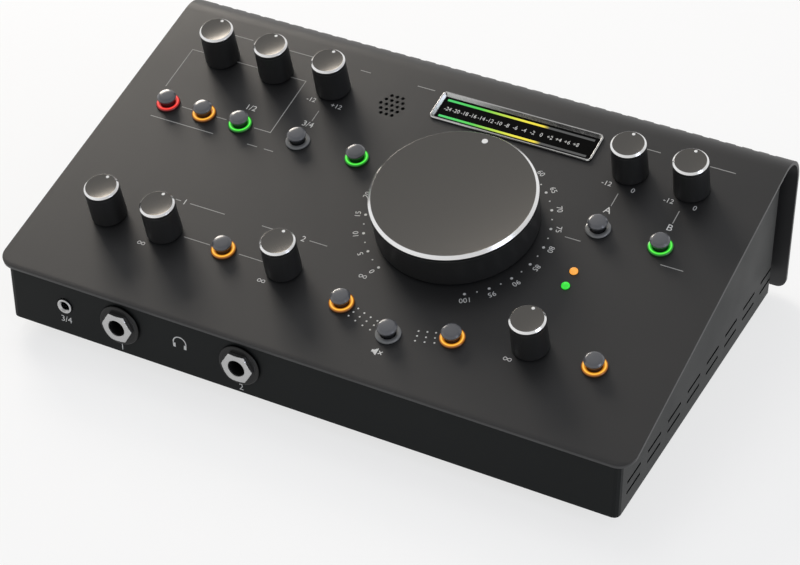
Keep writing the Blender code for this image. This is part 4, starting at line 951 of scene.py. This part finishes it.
def make_button(name):
    """A push button: a flat top with a sloped rim that overhangs its neck, on the stem to the switch."""
    child = "button_" + name
    place = place_of(child)
    profile = eased([(0, BUTTON_TOP), (1.7, BUTTON_TOP - 0.1, 0.7), (3.0, BUTTON_TOP - 0.35, 0.35),
                     (BUTTON_RADIUS, 4.2, 0.3), (BUTTON_RADIUS - 0.15, 3.4, 0.3),
                     (BUTTON_NECK + 0.2, 2.9, 0.25), (BUTTON_NECK, 2.2, 0.2), (BUTTON_NECK, BUTTON_LOW),
                     (0, BUTTON_LOW)])
    mesh = turned(profile, place, BUTTON_STEPS)
    mesh.materials.append(BUTTON_PLASTIC)
    mesh.materials.append(SHADED_NECK_PLASTIC)
    # Faces below the neck's top, under the overhanging rim, get the darker plastic: painted shade, not a second
    # colour of plastic
    by_face(mesh, place, lambda middle, normal: middle[:, 2] < NECK_TOP, 1)
    put("push_" + name, mesh, None, child, [child])


def make_light_ring(name):
    """The light guide round a button: a rounded crest on the panel, and a tube down through it."""
    node = "light_ring_" + name
    place = place_of("button_" + name)
    crest = np.linspace(0, math.pi, 13)
    middle = (RING_OUTER + RING_BORE) / 2
    half = (RING_OUTER - RING_BORE) / 2
    height = FIT + (RING_TOP - FIT) * np.sin(crest) ** RING_ROUND
    dome = np.stack([middle - half * np.cos(crest), height], axis=-1)
    tube = [(RING_TUBE, FIT), (RING_TUBE, RING_LOW), (RING_BORE, RING_LOW), (RING_BORE, FIT)]
    slot = SLOT_OF[node]
    mesh = turned(np.concatenate([dome, tube]), place, KNOB_STEPS)
    put("guide_" + name, mesh, GUIDE_LIGHTS[slot], "housing", [node])


def make_lamps():
    """The two small lamps under the trims: half domes that stand out of the panel."""
    x = panel_spot("knob_talkback")[0]
    turn = np.linspace(0, math.pi / 2, 8)
    dome = np.stack([LAMP_RADIUS * np.sin(turn), LAMP_FOOT + LAMP_DOME * np.cos(turn)], axis=-1)
    profile = np.concatenate([dome, [(LAMP_RADIUS, 0.04), (1.2, 0.04)]])
    kinds = (("power_lamp", "amber_light"), ("usb_lamp", "green_light"))
    for (name, slot), row in zip(kinds, LAMP_ROWS):
        put(name, turned(profile, on_panel(x, row), 32), LAMP_LIGHTS[slot], "housing")


def make_meter():
    """The level meter: bevelled metal frame, dark window, two light bars and the scale between them."""
    loop = rounded_loop(METER_WIDTH - 2 * METER_RIM, METER_HEIGHT - 2 * METER_RIM, 0.4)
    profile = eased([(0.0, -METER_DEEP), (0.0, -0.5, 0.06), (0.85, METER_LIFT, 0.1),
                     (METER_RIM - 0.25, METER_LIFT, 0.1), (METER_RIM, METER_LIFT - 0.35, 0.1),
                     (METER_RIM, FIT), (1.1, FIT), (1.1, -METER_DEEP)])
    place = on_panel(METER_X, METER_ROW)
    put("meter_frame", framed(profile, loop, place), BEZEL_METAL, "housing", ["meter_bezel"])
    put("meter_glass", refined("meter_window", 0.15), GLASS, "housing", ["meter_window"])
    face = on_panel(METER_X, METER_ROW, -METER_SUNK)
    bars = [stroke([(-BAR_HALF, row), (BAR_HALF, row)], BAR_WIDTH, face) for row in (-BAR_ROW, BAR_ROW)]
    put("meter_bars", joined(bars), METER_LIGHT, "housing")
    values = [-24, *range(-20, 9, 2)]
    narrow = Matrix.Diagonal((SCALE_NARROW, 1, 1, 1))
    signs = []
    for number, value in enumerate(values):
        spot = face @ Matrix.Translation((SCALE_START + number * SCALE_PITCH, SCALE_ROW, 0)) @ narrow
        signs.append(sign_mesh("%+d" % value if value else "0", SCALE_SIZE, spot))
    put("meter_scale", joined(signs), WHITE_INK, "housing")


def make_jacks():
    """Quarter inch jacks: nut, washer in the front, and the sleeve whose bore is the opening."""
    for number in (1, 2):
        node = "phone_jack_%d" % number
        x = column(node)
        z = (lowest(node).z + highest(node).z) / 2
        place = on_front(x, z)
        top = FIT + WASHER_THICKNESS
        washer = eased([(JACK_SLEEVE + 0.1, FIT), (WASHER_RADIUS, FIT), (WASHER_RADIUS, 1.0, 0.1),
                        (WASHER_RADIUS - 0.4, top, 0.15), (7.2, top, 0.1), (7.0, top - 0.1),
                        (JACK_SLEEVE + 0.1, top - 0.1), (JACK_SLEEVE + 0.1, FIT)])
        put("phone_washer_%d" % number, turned(washer, place, KNOB_STEPS), WASHER_METAL, "housing")
        put("phone_nut_%d" % number, nut(place, NUT_FLATS, NUT_THICKNESS, NUT_BORE, top), NICKEL, "housing")
        make_sleeve("phone_sleeve_%d" % number, place, top + NUT_THICKNESS - SLEEVE_SUNK, FRONT_BARREL,
                    FRONT_SHEET, node)
    for node in LINE_JACKS:
        place = on_rear(column(node), REAR_HEIGHT)
        put("nut_" + node, nut(place, NUT_FLATS, NUT_THICKNESS, NUT_BORE, FIT), NICKEL, "housing")
        make_sleeve("sleeve_" + node, place, FIT + NUT_THICKNESS - SLEEVE_SUNK, REAR_BARREL, SHEET, node)


def make_sleeve(name, place, reach, depth, sheet, node):
    """The plastic of a jack in one turned piece: threaded sleeve outside, round barrel behind the sheet."""
    top = -sheet - FIT
    low = top - depth
    profile = eased([(0, low), (BARREL, low, 0.3), (BARREL, top, 0.3), (JACK_SLEEVE, top),
                     (JACK_SLEEVE, FIT * 0.9), (SLEEVE_IN_NUT, FIT * 0.9), (SLEEVE_IN_NUT, reach, 0.06),
                     (JACK_BORE, reach, 0.06), (JACK_BORE, low + BARREL_FLOOR), (0, low + BARREL_FLOOR)])
    put(name, turned(profile, place, BUTTON_STEPS), JACK_PLASTIC, "housing", [node])


def make_mini_jack():
    """The small stereo jack of the line input: a bright threaded sleeve with a stepped mouth."""
    node = "stereo_in_jack"
    z = (lowest("phone_jack_1").z + highest("phone_jack_1").z) / 2
    place = on_front(column(node), z)
    low = -13.5
    profile = eased([(0, low), (MINI_BARREL, low, 0.3), (MINI_BARREL, -1.5, 0.3), (MINI_SLEEVE, -1.5),
                     (MINI_SLEEVE, 0.7, 0.12), (MINI_SLEEVE - 0.25, 0.9, 0.1), (2.45, 0.9, 0.08),
                     (2.1, 0.55, 0.1), (MINI_BORE, 0.2), (MINI_BORE, low + 1.5), (0, low + 1.5)])
    put("mini_jack", turned(profile, place, BUTTON_STEPS), NICKEL, "housing", [node])


def make_rear_sockets():
    """Combined inputs, square and round socket and the power switch of the rear plate."""
    for node in COMBOS:
        place = on_rear(column(node), REAR_HEIGHT)
        mesh = refined(node, 0.3)
        mesh.materials.append(JACK_PLASTIC)
        mesh.materials.append(NICKEL)
        by_face(mesh, place, lambda middle, normal: (np.abs(middle[:, 0] + middle[:, 1]) < 4)
                & (np.hypot(middle[:, 0], middle[:, 1]) > 12.0) & (middle[:, 2] > 0.2), 1)
        put("socket_" + node, mesh, None, "housing", [node])
    for node, finish in (("usb_socket", NICKEL), ("dc_socket", JACK_PLASTIC)):
        put("shell_" + node, refined(node, 0.2), finish, "housing", [node])
    place = on_rear(column("power_switch"), REAR_HEIGHT)
    profile = eased([(0, SWITCH_REACH), (2.4, SWITCH_REACH, 0.3), (3.0, SWITCH_REACH, 0.3),
                     (SWITCH_RADIUS, 3.3, 0.35), (SWITCH_RADIUS, SWITCH_LOW), (0, SWITCH_LOW)])
    mesh = turned(profile, place, BUTTON_STEPS)
    put("power_cap", mesh, KNOB_PLASTIC, "power_switch", ["power_switch"])


# Printed lines of the panel, as x and row of their ends
LINES = (
    ((-113.5, 88.1), (-84.6, 88.1)), ((-69.1, 88.0), (-64.6, 88.0)), ((-61.5, 88.0), (-57.4, 88.0)),
    ((66.8, 88.5), (73.1, 88.5)), ((104.9, 88.6), (113.9, 88.6)),
    ((-103.9, 139.5), (-94.8, 139.5)), ((-77.9, 139.5), (-67.1, 139.5)), ((-45.3, 139.5), (-40.7, 139.5)),
    ((-19.8, 139.5), (-12.1, 139.5)), ((77.8, 139.7), (83.6, 139.7)), ((103.6, 139.7), (113.9, 139.7)),
    ((-81.2, 52.6), (-78.8, 52.6)), ((-74.7, 52.6), (-59.3, 52.6)), ((-42.9, 52.6), (-34.5, 52.6)),
    ((-22.2, 52.5), (-14.6, 52.5)),
    ((-68.4, 37.0), (-57.0, 37.0)), ((-44.3, 37.0), (-34.0, 37.0)),
    ((-116.0, 104.4), (-116.0, 126.4), (-63.3, 126.4), (-63.3, 96.6), (-70.7, 96.6)),
    ((-103.8, 96.6), (-99.1, 96.6)), ((-87.9, 96.6), (-83.3, 96.6)),
    ((-50.7, 113.7), (-50.7, 107.9)), ((76.7, 115.0), (76.7, 108.4)), ((101.4, 115.0), (101.4, 108.5)),
)
# Printed dots between mono, mute and dim: three curved rows each side
DOT_ROWS = (
    ((10.3, 29.9), (13.4, 28.8), (16.5, 27.9), (19.6, 27.3)),
    ((9.4, 27.8), (12.6, 26.6), (15.9, 25.7), (19.3, 25.0)),
    ((8.5, 25.6), (11.9, 24.4), (15.4, 23.4), (18.9, 22.6)),
    ((35.8, 28.5), (39.0, 29.3), (42.1, 30.1), (45.2, 31.2)),
    ((36.3, 26.3), (39.6, 26.9), (42.8, 27.8), (46.1, 29.0)),
    ((36.6, 24.0), (40.1, 24.7), (43.6, 25.7), (46.9, 26.9)),
)
# Printed figures of the panel: text, x, row and height
SIGNS = (
    ("1", -77.0, 52.5, 2.7), ("2", -24.8, 52.4, 2.7), ("A", 76.4, 105.9, 3.2), ("B", 101.2, 106.1, 3.2),
    ("-12", 70.6, 118.3, 2.3), ("-12", 95.7, 118.3, 2.3), ("0", 81.3, 118.2, 2.3), ("0", 106.2, 118.2, 2.3),
    ("1/2", -77.1, 105.7, 2.8), ("3/4", -51.4, 105.7, 2.8), ("-12", -56.5, 118.2, 2.3),
    ("+12", -45.3, 118.2, 2.3),
)
ENDLESS = ((-82.5, 28.4), (-30.0, 28.6), (71.3, 28.6), (4.8, 44.2))


def infinity(x, y, width, place):
    """The sign for no level: the curve (cos a, sin a cos a) / (1 + sin a sin a), inked along its way."""
    angle = np.linspace(0, 2 * math.pi, 41)
    spread = 1 + np.sin(angle) ** 2
    points = np.stack([x + width / 2 * np.cos(angle) / spread,
                       y + width / 2 * 1.25 * np.sin(angle) * np.cos(angle) / spread], axis=-1)
    return stroke(points, 0.3, place)


def arc(x, y, radius, start, end, width, place, steps=14):
    angle = np.radians(np.linspace(start, end, steps))
    return stroke(np.stack([x + radius * np.cos(angle), y + radius * np.sin(angle)], axis=-1), width, place)


def make_print():
    """Lines, dots and figures on the panel and on the front wall."""
    put("panel_lines", joined([stroke(line, LINE_WIDTH, PANEL) for line in LINES]), LINE_INK, "housing")
    dots = [dot(x, row, DOT_RADIUS, PANEL) for line in DOT_ROWS for x, row in line]
    signs = [sign_mesh(text, size, on_panel(x, row)) for text, x, row, size in SIGNS]
    x, row = panel_spot("volume_knob")
    for step in range(DIAL_STEPS + 1):
        angle = math.radians(90 + DIAL_TURN / 2 - DIAL_TURN * step / DIAL_STEPS)
        way = Vector((math.cos(angle), math.sin(angle)))
        dots.append(dot(x + DIAL_RADIUS * way.x, row + DIAL_RADIUS * way.y, DIAL_DOTS[step % 2], PANEL))
        if step % 2 == 0:
            spot = on_panel(x + DIAL_FIGURE_RADIUS * way.x, row + DIAL_FIGURE_RADIUS * way.y)
            figure = "%d" % (100 * step / DIAL_STEPS)
            signs.append(sign_mesh(figure, DIAL_FIGURE, spot, angle - math.radians(90)))
    put("panel_dots", joined(dots), WHITE_INK, "housing")
    signs += [infinity(x, row, 3.0, PANEL) for x, row in ENDLESS]
    put("panel_figures", joined(signs), WHITE_INK, "housing")
    put("mute_sign", joined(mute_sign(on_panel(*MUTE_SIGN_AT))), WHITE_INK, "housing")
    figures = (("1", "phone_jack_1", FRONT_FIGURE_Z), ("2", "phone_jack_2", FRONT_FIGURE_Z),
               ("3/4", "stereo_in_jack", MINI_FIGURE_Z))
    front = [sign_mesh(text, FRONT_FIGURE, on_front(column(node), z)) for text, node, z in figures]
    put("front_figures", joined(front), WHITE_INK, "housing")
    put("headphone_sign", joined(headphone_sign(on_front(*HEADPHONE_SIGN_AT))), WHITE_INK, "housing")


def mute_sign(place):
    """A loudspeaker, as upright strokes that grow to its cone, and a cross beside it."""
    cone = [stroke([(x, -half), (x, half)], 0.5, place)
            for x, half in ((-2.0, 0.55), (-1.55, 0.55), (-1.1, 0.85), (-0.65, 1.2), (-0.2, 1.55))]
    cross = [stroke([(0.6, -end), (2.0, end)], SIGN_LINE, place) for end in (0.75, -0.75)]
    return cone + cross


def headphone_sign(place):
    """A pair of headphones: the band as an arc, and a cup at each end."""
    return [arc(0, -0.2, 2.75, -12, 192, 0.5, place), stroke([(-2.3, -2.5), (-2.4, -0.6)], 1.2, place),
            stroke([(2.3, -2.5), (2.4, -0.6)], 1.2, place)]


# The camera fitted to the photograph, and the light that its shadows and highlights show
CAMERA_AT = Vector((0.35229, -0.67190, 0.58454))
CAMERA_AIM = Vector((-0.37066, 0.70766, -0.60152)).normalized()
CAMERA_RIGHT = Vector((0.88678, 0.46219, -0.00269)).normalized()
CAMERA_LENS = 109.88
SENSOR = 36.0
# Soft studio lights: name, direction, distance, size, power, colour, and whether reflections show them
STUDIO_LIGHTS = (
    ("key", (-0.30, 0.24, 0.92), 1.6, 0.9, 6.5, "#fffdf8", False),
    ("rear_left_box", (-0.68, 0.54, 0.50), 1.6, 0.6, 14.0, "#fff6ea", True),
    ("right_box", (0.90, -0.25, 0.38), 1.6, 0.6, 4.0, "#e0e9ff", True),
)


def add_area_light(name, direction, distance, size, power, colour, mirrored):
    direction = Vector(direction).normalized()
    light = bpy.data.lights.new(name, "AREA")
    light.shape = "SQUARE"
    light.size = size
    light.energy = power
    light.color = linear(colour)[:3]
    holder = bpy.data.objects.new(name, light)
    holder.location = direction * distance
    holder.rotation_euler = direction.to_track_quat("Z", "Y").to_euler()
    holder.visible_glossy = mirrored
    bpy.context.scene.collection.objects.link(holder)


def seen_directly(tree):
    """One for a ray from the camera or a reflection or a view through glass, else nothing."""
    path = add_node(tree, "ShaderNodeLightPath")
    first = add_node(tree, "ShaderNodeMath", operation="MAXIMUM")
    tree.links.new(path.outputs["Is Camera Ray"], first.inputs[0])
    tree.links.new(path.outputs["Is Glossy Ray"], first.inputs[1])
    both = add_node(tree, "ShaderNodeMath", operation="MAXIMUM")
    tree.links.new(first.outputs[0], both.inputs[0])
    tree.links.new(path.outputs["Is Transmission Ray"], both.inputs[1])
    return both.outputs[0]


def make_world():
    """A white studio with a grey ceiling to the eye and in reflections, and a dimmer sky as fill light."""
    world = bpy.data.worlds.new("studio")
    bpy.context.scene.world = world
    world.use_nodes = True
    tree = world.node_tree
    tree.nodes.clear()
    fill = add_node(tree, "ShaderNodeBackground", {"Color": linear("#f2f5fa"), "Strength": 0.42})
    way = add_node(tree, "ShaderNodeTexCoord")
    split = add_node(tree, "ShaderNodeSeparateXYZ", links={"Vector": way.outputs["Generated"]})
    ceiling = add_node(tree, "ShaderNodeValToRGB",
                       links={"Fac": ranged(tree, split.outputs["Z"], 0.0, 1.0, 0.0, 1.0)})
    colour_stops(ceiling, ((0.3, "#ffffff"), (0.7, "#c8c8c8")))
    white = add_node(tree, "ShaderNodeBackground", {"Strength": 1.0}, {"Color": ceiling.outputs["Color"]})
    blend = add_node(tree, "ShaderNodeMixShader", {}, {0: seen_directly(tree), 1: fill.outputs[0],
                                                       2: white.outputs[0]})
    add_node(tree, "ShaderNodeOutputWorld", {}, {"Surface": blend.outputs[0]})


def make_floor():
    """A plain pale floor: part of it shows white to the eye, and the rest keeps the shadow."""
    side = np.linspace(-2000.0, 2000.0, 9)
    x, y = np.meshgrid(side, side, indexing="xy")
    mesh = surface(np.stack([x, y, np.zeros_like(x)], axis=-1), Matrix.Scale(MM, 4))
    material, tree, shader = new_material("pale_floor", "#f4f4f4", 0.9, Specular_IOR_Level=0.0)
    cloud = noise(tree, 400.0, 1.0)
    tree.links.new(ranged(tree, cloud, 0.85, 0.95), shader.inputs["Roughness"])
    white = add_node(tree, "ShaderNodeEmission", {"Color": linear("#ffffff"), "Strength": 1.0})
    shown = add_node(tree, "ShaderNodeMath", {1: 0.72}, {0: seen_directly(tree)}, operation="MULTIPLY")
    blend = add_node(tree, "ShaderNodeMixShader", {}, {0: shown.outputs[0], 1: shader.outputs[0],
                                                       2: white.outputs[0]})
    tree.links.new(blend.outputs[0], tree.nodes["Material Output"].inputs["Surface"])
    mesh.materials.append(material)
    floor = bpy.data.objects.new("floor", mesh)
    bpy.context.scene.collection.objects.link(floor)


def make_camera():
    up = CAMERA_RIGHT.cross(CAMERA_AIM)
    camera = bpy.data.cameras.new("camera")
    camera.lens = CAMERA_LENS
    camera.sensor_width = SENSOR
    camera.clip_start = 0.01
    holder = bpy.data.objects.new("camera", camera)
    turn = Matrix((CAMERA_RIGHT, up, -CAMERA_AIM)).transposed().to_4x4()
    holder.matrix_world = Matrix.Translation(CAMERA_AT) @ turn
    bpy.context.scene.collection.objects.link(holder)
    bpy.context.scene.camera = holder


dress_cad_nodes()
make_cover()
make_case()
for child in JOINTS:
    kind, _, name = child.partition("_")
    if kind == "knob":
        make_knob(name)
    elif kind == "button":
        make_button(name)
        make_light_ring(name)
make_volume_knob()
make_lamps()
make_meter()
make_jacks()
make_mini_jack()
make_rear_sockets()
make_print()
make_world()
make_floor()
make_camera()
for light in STUDIO_LIGHTS:
    add_area_light(*light)
bpy.context.scene.view_settings.view_transform = "Standard"
